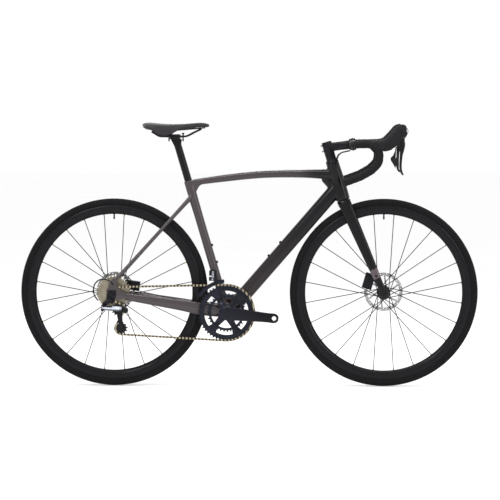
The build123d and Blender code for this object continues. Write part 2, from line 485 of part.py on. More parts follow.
for s in (1, -1):
    y = s * LEVER_Y
    hood = extrude_xz(HOOD, y - 16, y + 16)
    side = tube_loft([(Vector(430, y, 880), (1, 0, 0), Y1, 13, 90), (Vector(500, y, 880), (1, 0, 0), Y1, 16, 100), (Vector(545, y, 890), (1, 0, 0), Y1, 14.5, 100), (Vector(572, y, 890), (1, 0, 0), Y1, 10, 95)], 3.0)
    hood = common(hood, side)
    slot_in = (y - s * 24, y + s * 9.2)
    slot = extrude_xz([(600, 924), (545, 924), (541, 905), (519, 873), (505, 862), (505, 840), (600, 840)], min(slot_in), max(slot_in))
    hood = cut(hood, slot, tape_room, cyl(PIV + Y1 * (y - s * 8), PIV + Y1 * (y + s * 14.5), 2.0 + CL))
    hoods.append(max(sol(hood), key=lambda q: q.volume))
    pin = cyl(PIV + Y1 * (y - s * 7), PIV + Y1 * (y + s * 14), 2.0)
    blk = cut(extrude_xz([(545.5, 921), (560, 921), (561.5, 912), (560.5, 903), (546, 903)], y - 6.5, y + 6.5), box(550.2, 555.8, y - 7, y + 7, 900, 911.2))
    blk = fuse(blk, pin, cyl((546.5, y, 906.7), (560, y, 906.7), 1.5))
    blocks[s] = sol(blk)
    blade = fuse(extrude_xz(LEVER, y - 5.5, y + 5.5), box(550.5, 555.5, y - 3, y + 3, 897, 909.4))
    blade = cut(blade, cyl((540, y, 906.7), (570, y, 906.7), 1.5 + CL), cyl((530, y, 858), (549.1, y, 858), 1.5 + CL))
    blades[s] = sol(blade)
    paddles[s] = fuse(extrude_xz(PADDLE, y - 5.5 + (0 if s > 0 else 3.5), y + 2 + (0 if s > 0 else 3.5)), cyl((535, y, 858), (549, y, 858), 1.5))
node("brake_hoods", hoods)
node("left_lever_pivot", blocks[1])
node("right_lever_pivot", blocks[-1])
node("left_brake_lever", blades[1])
node("right_brake_lever", blades[-1])
node("left_shift_paddle", paddles[1])
node("right_shift_paddle", paddles[-1])

# ---------------------------------------------------------------- disc brakes


def caliper(x, z, axle_x, rotor_y, w, h, tilt, y_in, y_out):
    body = Pos(x, 0, z) * Rot(0, tilt, 0) * Box(w, 10, h)
    body = [Solid.make_box(w, y_out - y_in, h, Plane(origin=(0, 0, 0)))]
    body = sol(Pos(x, 0, z) * Rot(0, tilt, 0) * Pos(-w / 2, y_in, -h / 2) * body[0])
    slot = cyl((axle_x, rotor_y - 5.2, AXLE_Z), (axle_x, rotor_y + 5.2, AXLE_Z), 72.0)
    body = cut(body, slot)
    pads = []
    c = Vector(x, 0, z) - Vector(axle_x, 0, AXLE_Z)
    c = Vector(axle_x, 0, AXLE_Z) + c.normalized() * 62.0
    for k in (1, -1):
        a, b = rotor_y + k * 1.25, rotor_y + k * 5.15
        pads.append(cyl((c.X, a, c.Z), (c.X, b, c.Z), 9.0))
    return body + sol(pads)


node("front_brake_caliper", cut(caliper(435, 379, FRONT_X, FRONT_ROTOR_Y, 36, 58, 16.6, 27.5, 51.5), sol(fork)))
rc = caliper(-428, 361, REAR_X, REAR_ROTOR_Y, 56, 34, 8, 44, 70)
node("rear_brake_caliper", cut(rc, stays))

# ---------------------------------------------------------------- hoses and housings
LOOP = [(-486, -77, 372), (-497, -78, 385), (-516, -80, 392), (-538, -83, 390), (-553, -86, 374), (-557, -88, 352), (-553, -89, 332), (-540, -89.3, 316)]
hb = [sweep_round(LOOP, [16, 22, 24, 22, 26, 30], 2.4)]
hb = cut(hb, stays)
node("rear_shift_housing", max(sol(hb), key=lambda q: q.volume))
cab = []
for y, dx, r in [(11.0, 0, 2.5), (5.2, 1.5, 2.5), (-5.2, 1.5, 2.1), (-11.0, 0, 2.1)]:
    pts = [(366, y * 1.7, 853.5), (352, y * 1.5, 850.5), (336, y * 1.25, 847), (323 + dx, y, 838), (317.5 + dx, y * 0.8, 822), (308, y * 0.6, 816)]
    cab.append(sweep_round(pts, [40, 30, 14, 13], r))
cab = cut(cab, cover, sp1, sp2, stem_body, bar)
node("control_cables", [q for q in sol(cab) if q.volume > 300])

# ---------------------------------------------------------------- chain line
ROLLER_R = 3.85


def pitch_r(t):
    return PITCH / 2 / math.sin(math.pi / t)


G, T = (-470.0, 281.0), (-469.0, 214.0)          # guide and tension pulley centres


def chain_path(tx):
    """Dense closed path of the pitch line: chainring, sprocket, guide pulley, tension pulley."""
    circ = [(BB_X, BB_Z, pitch_r(BIG_T), 1, BIG_Y), (REAR_X, AXLE_Z, pitch_r(11), 1, COG_Y0), (G[0], G[1], pitch_r(11), -1, PULLEY_Y), (tx, T[1], pitch_r(11), 1, PULLEY_Y)]
    outp, inp = {}, {}
    for i in range(4):
        j = (i + 1) % 4
        a, b = circ[i], circ[j]
        dx, dz = b[0] - a[0], b[1] - a[1]
        L = math.hypot(dx, dz)
        th = math.atan2(dz, dx) + math.asin((a[3] * a[2] - b[3] * b[2]) / L)
        rx, rz = math.sin(th), -math.cos(th)
        outp[i] = (a[0] + a[3] * a[2] * rx, a[1] + a[3] * a[2] * rz)
        inp[j] = (b[0] + b[3] * b[2] * rx, b[1] + b[3] * b[2] * rz)
    pts = []
    for i in range(4):
        c = circ[i]
        a0 = math.atan2(inp[i][1] - c[1], inp[i][0] - c[0])
        a1 = math.atan2(outp[i][1] - c[1], outp[i][0] - c[0])
        sweep_a = (a1 - a0) * c[3] % (2 * math.pi)
        n = max(8, int(sweep_a * c[2] / 0.5))
        for k in range(n):
            t = a0 + c[3] * sweep_a * k / n
            pts.append((c[0] + c[2] * math.cos(t), c[4], c[1] + c[2] * math.sin(t)))
        p, q = outp[i], inp[(i + 1) % 4]
        y0, y1 = c[4], circ[(i + 1) % 4][4]
        n = int(math.hypot(q[0] - p[0], q[1] - p[1]) / 0.5)
        for k in range(n):
            u = k / n
            v = min(1.0, max(0.0, (u * n * 0.5 - 30.0) / (n * 0.5 - 60.0))) if y0 != y1 else u
            pts.append((p[0] + (q[0] - p[0]) * u, y0 + (y1 - y0) * v, p[1] + (q[1] - p[1]) * u))
    return pts


def walk(pts):
    """Pins at one pitch from each other along the path, starting at its first point."""
    pins, i, cur = [pts[0]], 0, pts[0]
    m = len(pts)
    while True:
        while i < m and math.dist(cur, pts[i]) < PITCH:
            i += 1
        if i >= m:
            break
        a, b = pts[i - 1], pts[i]
        lo, hi = 0.0, 1.0
        for _ in range(30):
            mid = (lo + hi) / 2
            q = tuple(a[k] + (b[k] - a[k]) * mid for k in range(3))
            if math.dist(cur, q) < PITCH:
                lo = mid
            else:
                hi = mid
        cur = tuple(a[k] + (b[k] - a[k]) * hi for k in range(3))
        pins.append(cur)
    return pins


def closing(tx):
    pins = walk(chain_path(tx))
    gap = math.dist(pins[-1], pins[0])
    return pins, gap


best = None
for k in range(-60, 61):
    tx = T[0] + k * 0.25
    pins, gap = closing(tx)
    if len(pins) % 2 == 0:
        err = abs(gap - PITCH)
        if best is None or err < best[0]:
            best = (err, tx, pins)
for k in range(-50, 51):
    tx = best[1] + k * 0.005 if k == -50 else tx + 0.005
    pins, gap = closing(tx)
    if len(pins) % 2 == 0 and abs(gap - PITCH) < best[0]:
        best = (abs(gap - PITCH), tx, pins)
T = (best[1], T[1])
PINS = best[2]
print("chain pins", len(PINS), "closing error", round(best[0], 4), "tension pulley x", round(T[0], 3))


def phase(cx, cz, r):
    """Angle of a chain pin that is seated on the wheel at (cx, cz)."""
    near = [p for p in PINS if abs(math.hypot(p[0] - cx, p[2] - cz) - r) < 0.01]
    p = near[len(near) // 2]
    return math.atan2(p[2] - cz, p[0] - cx)


def gear_face(t, ph, bore, tip=2.9):
    r = pitch_r(t)
    pts = []
    step = 2 * math.pi / t
    for i in range(t):
        a = ph + i * step
        for ang in (118, 145, 180, 215, 242):
            q = math.radians(ang)
            x, z = r + 4.2 * math.cos(q), -4.2 * math.sin(q)
            pts.append((x * math.cos(a) - z * math.sin(a), x * math.sin(a) + z * math.cos(a)))
        for da in (-0.9, 0.9):
            w = a + step / 2 + da / (r + tip)
            pts.append(((r + tip) * math.cos(w), (r + tip) * math.sin(w)))
    pts2 = []
    # valley corners run from the back flank to the front flank of each seat
    for i in range(t):
        pts2 += pts[i * 7:i * 7 + 5] + pts[i * 7 + 5:i * 7 + 7]
    return pts2


def gear(t, ph, cx, cz, y, thick, bore, tip=2.9):
    pts = [Vector(cx + px, y - thick / 2, cz + pz) for px, pz in gear_face(t, ph, bore, tip)]
    s = Solid.extrude(Face(Wire.make_polygon(pts, close=True)), Vector(0, thick, 0))
    return cut(s, cyl((cx, y - thick, cz), (cx, y + thick, cz), bore)) if bore else [s]


# ---------------------------------------------------------------- chain links
inner, outer_l = [], []
NP = len(PINS)
for i in range(NP):
    a, b = Vector(*PINS[i]), Vector(*PINS[(i + 1) % NP])
    d = (b - a).normalized()
    lat = (Y1 - d * Y1.dot(d)).normalized()
    up = d.cross(lat)

    def plate(off, th, r, hole, extra=None):
        o = a + lat * off
        pl = Plane(origin=o, x_dir=d, z_dir=lat)
        L = (b - a).length
        w = Wire([Edge.make_line(pl.from_local_coords(Vector(0, -r * 0.82, 0)), pl.from_local_coords(Vector(L, -r * 0.82, 0))),
                  Edge.make_three_point_arc(pl.from_local_coords(Vector(L, -r * 0.82, 0)), pl.from_local_coords(Vector(L + r, 0, 0)), pl.from_local_coords(Vector(L, r * 0.82, 0))),
                  Edge.make_line(pl.from_local_coords(Vector(L, r * 0.82, 0)), pl.from_local_coords(Vector(0, r * 0.82, 0))),
                  Edge.make_three_point_arc(pl.from_local_coords(Vector(0, r * 0.82, 0)), pl.from_local_coords(Vector(-r, 0, 0)), pl.from_local_coords(Vector(0, -r * 0.82, 0)))])
        return Solid.extrude(Face(w), lat * th)

    if i % 2:
        parts_ = [plate(1.15, 0.6, 4.0, 0), plate(-1.75, 0.6, 4.0, 0), cyl(a - lat * 1.2, a + lat * 1.2, ROLLER_R), cyl(b - lat * 1.2, b + lat * 1.2, ROLLER_R)]
        link = cut(fuse(*parts_), cyl(a - lat * 3, a + lat * 3, 1.95), cyl(b - lat * 3, b + lat * 3, 1.95))
        inner += link
    else:
        parts_ = [plate(1.98, 0.55, 3.9, 0), plate(-2.53, 0.55, 3.9, 0), cyl(a - lat * 2.65, a + lat * 2.65, 1.7), cyl(b - lat * 2.65, b + lat * 2.65, 1.7)]
        outer_l += fuse(*parts_)
node("chain", inner, outer_l)

# ---------------------------------------------------------------- crankset
ca = math.radians(CRANK_ANGLE)
CD = Vector(math.cos(ca), 0, math.sin(ca))
CU = Vector(-math.sin(ca), 0, math.cos(ca))


def arm(direction, y_in, y_out, s):
    c = BB
    e = BB + direction * CRANK_LEN
    side = direction.cross(Y1)
    st = [(c, 25, 0), (c + direction * 45, 19.5, 0), (c + direction * 110, 15.5, 0), (e - direction * 8, 15.5, 0)]
    pts = [(c + side * 24)] + [p + side * w for p, w, _ in st[1:]]
    pts2 = [(c - side * 24)] + [p - side * w for p, w, _ in st[1:]]
    w = Wire.make_polygon([Vector(p.X, y_in, p.Z) for p in pts] + [Vector(p.X, y_in, p.Z) for p in reversed(pts2)], close=True)
    body = Solid.extrude(Face(w), Vector(0, y_out - y_in, 0))
    a = cyl((c.X, y_in, c.Z), (c.X, y_out, c.Z), 25.0)
    b = cyl((e.X, y_in, e.Z), (e.X, y_out, e.Z), 18.5)
    return cut(fuse(body, a, b), cyl((e.X, min(y_in, y_out) - 9, e.Z), (e.X, max(y_in, y_out) + 9, e.Z), PEDAL_R))


spindle = cyl((BB_X, -60, BB_Z), (BB_X, 62, BB_Z), 12.0)
spider = [cyl((BB_X, -58.5, BB_Z), (BB_X, -45, BB_Z), 30.0)]
RING_ANG = [CRANK_ANGLE + a for a in (55, 125, 235, 305)]
for a in RING_ANG:
    t = math.radians(a)
    d = Vector(math.cos(t), 0, math.sin(t))
    sd = d.cross(Y1)
    w = Wire.make_polygon([Vector(p.X, -50.5, p.Z) for p in (BB + sd * 15, BB + d * 58 + sd * 8, BB + d * 58 - sd * 8, BB - sd * 15)], close=True)
    spider.append(Solid.extrude(Face(w), Vector(0, 8.0, 0)))
right_arm = arm(CD, -59, -73, -1)
spider = cut(fuse(*spider), cyl((BB_X, -43.6, BB_Z), (BB_X, -20, BB_Z), 80))
crank_r = fuse(right_arm, spider, spindle)
bolt_holes = []
chain_bolts = []
for a in RING_ANG:
    t = math.radians(a)
    c = BB + Vector(math.cos(t), 0, math.sin(t)) * 51.0
    bolt_holes.append(cyl((c.X, -60, c.Z), (c.X, -30, c.Z), 4.05))
    chain_bolts.append(fuse(cyl((c.X, -51.5, c.Z), (c.X, -38.0, c.Z), 4.0), cyl((c.X, -53.2, c.Z), (c.X, -51.5, c.Z), 6.0)))
BIG_PH = phase(BB_X, BB_Z, pitch_r(BIG_T))
big = gear(BIG_T, BIG_PH, BB_X, BB_Z, BIG_Y, 1.7, 86.0, 2.7)
dish = cut(cyl((BB_X, -51.4, BB_Z), (BB_X, -46.0, BB_Z), 93.0), cyl((BB_X, -60, BB_Z), (BB_X, -30, BB_Z), 80.0))
tabs = []
for a in RING_ANG:
    t = math.radians(a)
    d = Vector(math.cos(t), 0, math.sin(t))
    sd = d.cross(Y1)
    w = Wire.make_polygon([Vector(p.X, -51.4, p.Z) for p in (BB + d * 59 + sd * 10, BB + d * 84 + sd * 20, BB + d * 84 - sd * 20, BB + d * 59 - sd * 10)], close=True)
    tabs.append(Solid.extrude(Face(w), Vector(0, 4.6, 0)))
    w = Wire.make_polygon([Vector(p.X, -50.45 - 0.95, p.Z) for p in (BB + d * 58.05 + sd * 10, BB + d * 60 + sd * 10, BB + d * 60 - sd * 10, BB + d * 58.05 - sd * 10)], close=True)
    tabs.append(Solid.extrude(Face(w), Vector(0, 4.6, 0)))
big = fuse(big, dish, *tabs)
node("large_chainring", big)
small = gear(SMALL_T, 0.05, BB_X, BB_Z, SMALL_Y, 2.0, 56.0)
stabs = []
for a in RING_ANG:
    t = math.radians(a)
    c = BB + Vector(math.cos(t), 0, math.sin(t)) * 51.0
    d = Vector(math.cos(t), 0, math.sin(t))
    stabs.append(cyl((c.X, SMALL_Y - 1, c.Z), (c.X, SMALL_Y + 1, c.Z), 8.5))
small = cut(fuse(small, *stabs), bolt_holes)
node("small_chainring", small)
crank_r = cut(crank_r, bolt_holes)
node("crankset_right", max(sol(crank_r), key=lambda q: q.volume))
left_arm = cut(arm(CD * -1, 58, 72, 1), cyl((BB_X, 40, BB_Z), (BB_X, 62.0, BB_Z), 12.0 + CL))
node("crank_arm_left", left_arm)
node("chainring_bolts", chain_bolts)

# ---------------------------------------------------------------- cassette and freehub
COG_PH = phase(REAR_X, AXLE_Z, pitch_r(11))
cogs = []
for k, t in enumerate(COGS):
    y = COG_Y0 + COG_STEP * k
    bore = 17.0 + CL if t < 17 else max(17.0 + CL, pitch_r(t) - 14.0)
    cogs += gear(t, COG_PH if t == 11 else 0.1 * k, REAR_X, AXLE_Z, y, 1.6, bore)
    if bore > 20:
        for i in range(5):
            a = 2 * math.pi * i / 5 + 0.35
            d = Vector(math.cos(a), 0, math.sin(a))
            sd = d.cross(Y1)
            o = Vector(REAR_X, y - 0.8, AXLE_Z)
            w = Wire.make_polygon([o + d * 20 + sd * 4, o + d * (bore + 1) + sd * 3, o + d * (bore + 1) - sd * 3, o + d * 20 - sd * 4], close=True)
            cogs.append(Solid.extrude(Face(w), Vector(0, 1.6, 0)))
carrier = fuse(pipe((REAR_X, COG_Y0 + 3.1, AXLE_Z), (REAR_X, COG_Y0 + COG_STEP * 10 + 0.8, AXLE_Z), 20.2, 17.0 + CL), pipe((REAR_X, COG_Y0 - 1.0, AXLE_Z), (REAR_X, COG_Y0 + 3.5, AXLE_Z), 18.2, 17.0 + CL))
cass = fuse(carrier, *cogs)
node("cassette", max(sol(cass), key=lambda q: q.volume))
free = pipe((REAR_X, -67.4, AXLE_Z), (REAR_X, -22.5, AXLE_Z), 17.0, 13.1)
lock = cut(cyl((REAR_X, -69.4, AXLE_Z), (REAR_X, -67.7, AXLE_Z), 18.0), cyl((REAR_X, -80, AXLE_Z), (REAR_X, -60, AXLE_Z), 13.1))
node("freehub_body", free, lock)

# ---------------------------------------------------------------- rear derailleur
def bar_xz(p, q, r, y0, y1, holes=()):
    """Flat link between two round ends."""
    a, b = Vector(p[0], y0, p[1]), Vector(q[0], y0, q[1])
    d = (b - a).normalized()
    sd = d.cross(Y1)
    w = Wire.make_polygon([a + sd * r, b + sd * r, b - sd * r, a - sd * r], close=True)
    s = fuse(Solid.extrude(Face(w), Vector(0, y1 - y0, 0)), cyl(a, a + Y1 * (y1 - y0), r), cyl(b, b + Y1 * (y1 - y0), r))
    return cut(s, *[cyl((x, -130, z), (x, -40, z), hr) for x, z, hr in holes]) if holes else s


RD_U = Vector(0, 0.66, 0.7513).normalized()       # axis of the slanted parallelogram
A1, A2 = Vector(-524, -88, 289), Vector(-458, -88, 285)
LW = A2 - A1
SHIFT = Vector(0, -10.5, 0)
bk = fuse(cyl((-499, -96, 315), (-499, -82.05, 315), 10.0), bar_xz((-499, 315), (-517, 303), 8.0, -96, -84), cyl((-499, -84, 315), (-499, -77.2, 315), 4.0))
hinge1 = [cyl(A1 - RD_U * 12, A1 - RD_U * 8.1, 6.0), cyl(A1 + RD_U * 8.1, A1 + RD_U * 12, 6.0)]
bk = fuse(bk, *hinge1, extrude_xz([(-526, 296), (-505, 310), (-508, 300), (-517, 296)], -96, -82), cyl(A1 - RD_U * 12, A1 + RD_U * 12, 2.0))
web = [cyl(A1 + RD_U * 10, Vector(-512, -86, 303), 4.0), cyl(A1 - RD_U * 10, Vector(-510, -93, 300), 4.0)]


def link_room(o, d):
    """Space swept by the link on the side d of the pivot at o."""
    sd = RD_U.cross(d)
    pts = [o]
    for k in range(-4, 5):
        t = math.radians(19 * k)
        pts.append(o + d * (90 * math.cos(t)) + sd * (90 * math.sin(t)))
    w = Wire.make_polygon([q - RD_U * 8.05 for q in pts], close=True)
    return fuse(Solid.extrude(Face(w), RD_U * 16.1), cyl(o - RD_U * 8.05, o + RD_U * 8.05, 8.0))


pin1 = cyl(A1 - RD_U * 12, A1 + RD_U * 12, 2.0)
b_knuckle = fuse(cut(fuse(bk, *web), link_room(A1, LW.normalized())), pin1)
node("rear_derailleur_b_knuckle", max(sol(b_knuckle), key=lambda q: q.volume))
pl_r = Plane(origin=A1, x_dir=LW.normalized(), z_dir=RD_U)


def link_body(off, half_w, r, h):
    """Link from A1 to A2 about axes parallel to RD_U."""
    o1, o2 = A1 + RD_U * -h, A2 + RD_U * -h
    s = fuse(cyl(A1 - RD_U * h, A1 + RD_U * h, r), cyl(A2 - RD_U * h, A2 + RD_U * h, r))
    d = LW.normalized()
    sd = RD_U.cross(d)
    w = Wire.make_polygon([A1 + sd * half_w - RD_U * h, A2 + sd * half_w - RD_U * h, A2 - sd * half_w - RD_U * h, A1 - sd * half_w - RD_U * h], close=True)
    return cut(fuse(s, Solid.extrude(Face(w), RD_U * (2 * h))), cyl(A1 - RD_U * 20, A1 + RD_U * 20, 2.0 + CL), cyl(A2 - RD_U * 20, A2 + RD_U * 20, 2.0 + CL))


node("rear_derailleur_link", link_body(0, 4.5, 5.5, 7.9))
P = (-455.0, 285.0)
pk = fuse(cyl(A2 - RD_U * 12, A2 - RD_U * 8.1, 6.0), cyl(A2 + RD_U * 8.1, A2 + RD_U * 12, 6.0), cyl(A2 - RD_U * 12, A2 + RD_U * 12, 2.0))
plug = cyl((-442, -92, 280), (-442, -75.5, 280), 10.5)
arms = [cyl(A2 + RD_U * 10, Vector(-444, -78, 286), 4.0), cyl(A2 - RD_U * 10, Vector(-444, -91, 276), 4.0), cyl(Vector(-442, -79, 280), Vector(-442, -71.2, 280), 3.0)]
pin2 = cyl(A2 - RD_U * 12, A2 + RD_U * 12, 2.0)
p_knuckle = fuse(cut(fuse(pk, plug, *arms), link_room(A2, LW.normalized() * -1)), pin2)
node("rear_derailleur_p_knuckle", max(sol(p_knuckle), key=lambda q: q.volume))
CP = (-442.0, 280.0)
plates = []
for y0, y1 in ((-73.2, -71.4), (-60.6, -58.8)):
    holes = [(G[0], G[1], 2.05), (T[0], T[1], 2.05)]
    if y0 < -70:
        holes.append((CP[0], CP[1], 3.05))
        pl = fuse(bar_xz(G, CP, 8.5, y0, y1), bar_xz(G, T, 6.5, y0, y1), bar_xz((-460, 270), T, 6.5, y0, y1))
    else:
        pl = fuse(bar_xz(G, T, 6.5, y0, y1))
    plates.append(cut(pl, *[cyl((x, -80, z), (x, -50, z), r) for x, z, r in holes]))
cage_bits = [cyl((c[0], -73.2, c[1]), (c[0], -58.8, c[1]), 2.1) for c in (G, T)]
node("derailleur_cage", fuse(*plates, *cage_bits))
node("guide_pulley", cut(gear(11, phase(G[0], G[1], pitch_r(11)), G[0], G[1], PULLEY_Y, 2.0, 2.15, 2.2), []))
node("tension_pulley", cut(gear(11, phase(T[0], T[1], pitch_r(11)), T[0], T[1], PULLEY_Y, 2.0, 2.15, 2.2), []))

# ---------------------------------------------------------------- front derailleur
FP1, FP2 = Vector(-128, -36, 415), Vector(-128, -47.5, 396)
fb = cut(fuse(box(-142, -132.2, -40, -10, 402, 421), box(-123.8, -114, -40, -10, 402, 421), box(-142, -114, -30, -10, 402, 421)), sol(ST), cyl(BB + SEAT_DIR * 60, st_top, POST_R + CL), box(-160, -100, -16.3, 30, 380, 440))
fb = fuse(max(sol(fb), key=lambda q: q.volume), cyl((-142, FP1.Y, FP1.Z), (-114, FP1.Y, FP1.Z), 2.0))
node("front_derailleur_body", cut(fb, seat_tube))
flink = fuse(cyl((-132, FP1.Y, FP1.Z), (-124, FP1.Y, FP1.Z), 4.5), cyl((-132, FP2.Y, FP2.Z), (-124, FP2.Y, FP2.Z), 4.5))
dv = (FP2 - FP1).normalized()
sv = dv.cross(Vector(1, 0, 0))
w = Wire.make_polygon([Vector(-132, 0, 0) + Vector(0, p.Y, p.Z) for p in (FP1 + sv * 3.5, FP2 + sv * 3.5, FP2 - sv * 3.5, FP1 - sv * 3.5)], close=True)
flink = cut(fuse(flink, Solid.extrude(Face(w), Vector(8, 0, 0))), cyl((-140, FP1.Y, FP1.Z), (-110, FP1.Y, FP1.Z), 2.05), cyl((-140, FP2.Y, FP2.Z), (-110, FP2.Y, FP2.Z), 2.05))
node("front_derailleur_link", flink)


def arc_pts(r, a0, a1, n=10):
    return [(BB_X + r * math.cos(math.radians(a0 + (a1 - a0) * i / n)), BB_Z + r * math.sin(math.radians(a0 + (a1 - a0) * i / n))) for i in range(n + 1)]


outl = arc_pts(107.5, 94, 146) + [(-183, 326), (-184, 333)] + list(reversed(arc_pts(121, 94, 142)))
fc = [extrude_xz(outl, -54.4, -53.0), extrude_xz(outl, -42.4, -41.0)]
fc += [box(-140, -133.0, -53.5, -41.5, 385.0, 388.5), cyl((-179, -53.5, 329), (-179, -41.5, 329), 2.0)]
fc += [box(-142, -132.2, -51, -44, 386, 399), box(-123.8, -116, -51, -44, 383, 399), box(-142, -116, -53.5, -41.5, 385, 388.5), cyl((-142, FP2.Y, FP2.Z), (-116, FP2.Y, FP2.Z), 2.0)]
node("front_derailleur_cage", fuse(*fc))


# ---------------------------------------------------------------- write the files
for name, shapes in NODES.items():
    shape = shapes[0] if len(shapes) == 1 else Compound(shapes)
    export_step(shape, "parts/" + name + ".step")
print(len(NODES), "nodes written")
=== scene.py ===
import bpy, bmesh, math
from mathutils import Vector, Matrix, noise


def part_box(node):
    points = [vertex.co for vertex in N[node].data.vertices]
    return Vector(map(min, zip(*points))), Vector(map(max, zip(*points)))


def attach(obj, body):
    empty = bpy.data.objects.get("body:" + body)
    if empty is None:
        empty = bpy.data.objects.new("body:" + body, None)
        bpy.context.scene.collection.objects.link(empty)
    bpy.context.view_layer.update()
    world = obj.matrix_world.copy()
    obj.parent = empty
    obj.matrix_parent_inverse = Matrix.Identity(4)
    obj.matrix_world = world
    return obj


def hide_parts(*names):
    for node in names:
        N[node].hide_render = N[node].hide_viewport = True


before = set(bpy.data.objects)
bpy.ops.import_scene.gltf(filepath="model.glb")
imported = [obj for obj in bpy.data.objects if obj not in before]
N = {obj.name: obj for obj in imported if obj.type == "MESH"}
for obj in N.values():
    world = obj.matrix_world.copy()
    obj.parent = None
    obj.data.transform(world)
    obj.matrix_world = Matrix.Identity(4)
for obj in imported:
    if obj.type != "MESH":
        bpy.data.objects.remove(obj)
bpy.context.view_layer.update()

S = bpy.context.scene
MM = 0.001

# ------------------------------------------------------------------ camera, light, stage
cam_data = bpy.data.cameras.new("camera")
cam = bpy.data.objects.new("camera", cam_data)
S.collection.objects.link(cam)
cam.location = (0.2966, -8.6, 0.993)
aim = Vector((0.0045, 0.0, 0.4935))
cam.rotation_euler = (aim - Vector(cam.location)).to_track_quat("-Z", "Y").to_euler()
cam_data.sensor_width = 36.0
cam_data.lens = 171.2
cam_data.clip_end = 60
S.camera = cam

world = bpy.data.worlds.new("studio")
S.world = world
world.use_nodes = True
wn = world.node_tree.nodes
wn["Background"].inputs[0].default_value = (1.0, 1.0, 1.0, 1)
wn["Background"].inputs[1].default_value = 1.0
S.view_settings.view_transform = "Standard"
S.view_settings.look = "None"


def area(name, loc, target, size, power, size_y=None):
    d = bpy.data.lights.new(name, "AREA")
    d.shape = "RECTANGLE"
    d.size, d.size_y = size, size_y or size
    d.energy = power
    o = bpy.data.objects.new(name, d)
    S.collection.objects.link(o)
    o.location = loc
    o.rotation_euler = (Vector(target) - Vector(loc)).to_track_quat("-Z", "Y").to_euler()
    return o


area("top_strip", (0.0, -0.9, 3.2), (0, 0, 0.5), 3.0, 44, 0.4)
area("key_soft", (-1.8, -3.4, 3.0), (0, 0, 0.5), 1.3, 26)
area("fill_front", (2.8, -2.6, 1.8), (0.2, 0, 0.5), 0.5, 14, 1.6)
area("back_strip", (0.2, 2.6, 2.6), (0, 0, 0.5), 2.6, 26, 0.4)

# ------------------------------------------------------------------ mesh helpers


def new_obj(name, verts, faces, smooth=True, uvs=None):
    me = bpy.data.meshes.new(name)
    me.from_pydata([tuple(v) for v in verts], [], faces)
    if uvs:
        layer = me.uv_layers.new(name="uv")
        for loop in me.loops:
            layer.data[loop.index].uv = uvs[loop.vertex_index]
    me.polygons.foreach_set("use_smooth", [smooth] * len(me.polygons))
    me.validate()
    me.update()
    o = bpy.data.objects.new(name, me)
    S.collection.objects.link(o)
    return o


def fix_normals(o):
    bm = bmesh.new()
    bm.from_mesh(o.data)
    bmesh.ops.recalc_face_normals(bm, faces=bm.faces)
    bm.to_mesh(o.data)
    bm.free()
    return o


def bake(o):
    """Applies every modifier of a piece."""
    dg = bpy.context.evaluated_depsgraph_get()
    me = bpy.data.meshes.new_from_object(o.evaluated_get(dg))
    o.modifiers.clear()
    old = o.data
    o.data = me
    bpy.data.meshes.remove(old)
    return o


def grid_faces(rows, cols, close_rows=False, close_cols=True):
    f = []
    for i in range(rows if close_rows else rows - 1):
        for j in range(cols if close_cols else cols - 1):
            a = i * cols + j
            b = i * cols + (j + 1) % cols
            c = ((i + 1) % rows) * cols + (j + 1) % cols
            d = ((i + 1) % rows) * cols + j
            f.append((a, b, c, d))
    return f


def catmull(pts, per=8):
    P = [Vector(p) for p in pts]
    P = [P[0] * 2 - P[1]] + P + [P[-1] * 2 - P[-2]]
    out = []
    for i in range(1, len(P) - 2):
        p0, p1, p2, p3 = P[i - 1], P[i], P[i + 1], P[i + 2]
        for k in range(per):
            t = k / per
            out.append(0.5 * ((2 * p1) + (p2 - p0) * t + (2 * p0 - 5 * p1 + 4 * p2 - p3) * t * t + (3 * p1 - p0 - 3 * p2 + p3) * t ** 3))
    out.append(P[-2].copy())
    return out


def lerp_list(vals, per):
    """Smooth interpolation of tuples given at the catmull control points."""
    out = catmull([Vector((list(v) + [0, 0, 0])[:3]) for v in vals], per)
    return out


def sweep(name, pts, section, cols=24, side=(0, 1, 0), cap=True, uv_len=True, smooth=True):
    """Skin along pts. section(i, t, ang) gives (side, up) offsets in metres."""
    n = len(pts)
    verts, uvs = [], []
    dist = 0.0
    for i, p in enumerate(pts):
        a, b = pts[max(i - 1, 0)], pts[min(i + 1, n - 1)]
        d = (b - a).normalized()
        sd = Vector(side)
        sd = (sd - d * sd.dot(d)).normalized()
        up = sd.cross(d).normalized() * -1
        if i:
            dist += (pts[i] - pts[i - 1]).length
        for j in range(cols):
            ang = 2 * math.pi * j / cols
            x, y = section(i, dist, ang)
            verts.append(p + sd * x + up * y)
            uvs.append((dist, j / cols))
    faces = grid_faces(n, cols)
    if cap:
        for end in (0, n - 1):
            base = len(verts)
            ring = list(range(end * cols, end * cols + cols))
            c = sum((verts[k] for k in ring), Vector()) / cols
            verts.append(c)
            uvs.append((0, 0.5))
            for j in range(cols):
                a, b = ring[j], ring[(j + 1) % cols]
                faces.append((b, a, base) if end == 0 else (a, b, base))
    return fix_normals(new_obj(name, verts, faces, smooth, uvs))


def oval_tube(name, stations, per=6, cols=36, power=2.3, side=(0, 1, 0)):
    """stations: (point in mm, half width along side, half height) in mm."""
    pts = [p * MM for p in catmull([Vector(s[0]) for s in stations], per)]
    ab = lerp_list([(s[1], s[2]) for s in stations], per)

    def sec(i, t, ang):
        c, s = math.cos(ang), math.sin(ang)
        k = (abs(c) ** power + abs(s) ** power) ** (-1 / power)
        return ab[i].x * MM * c * k, ab[i].y * MM * s * k

    return sweep(name, pts, sec, cols, side)


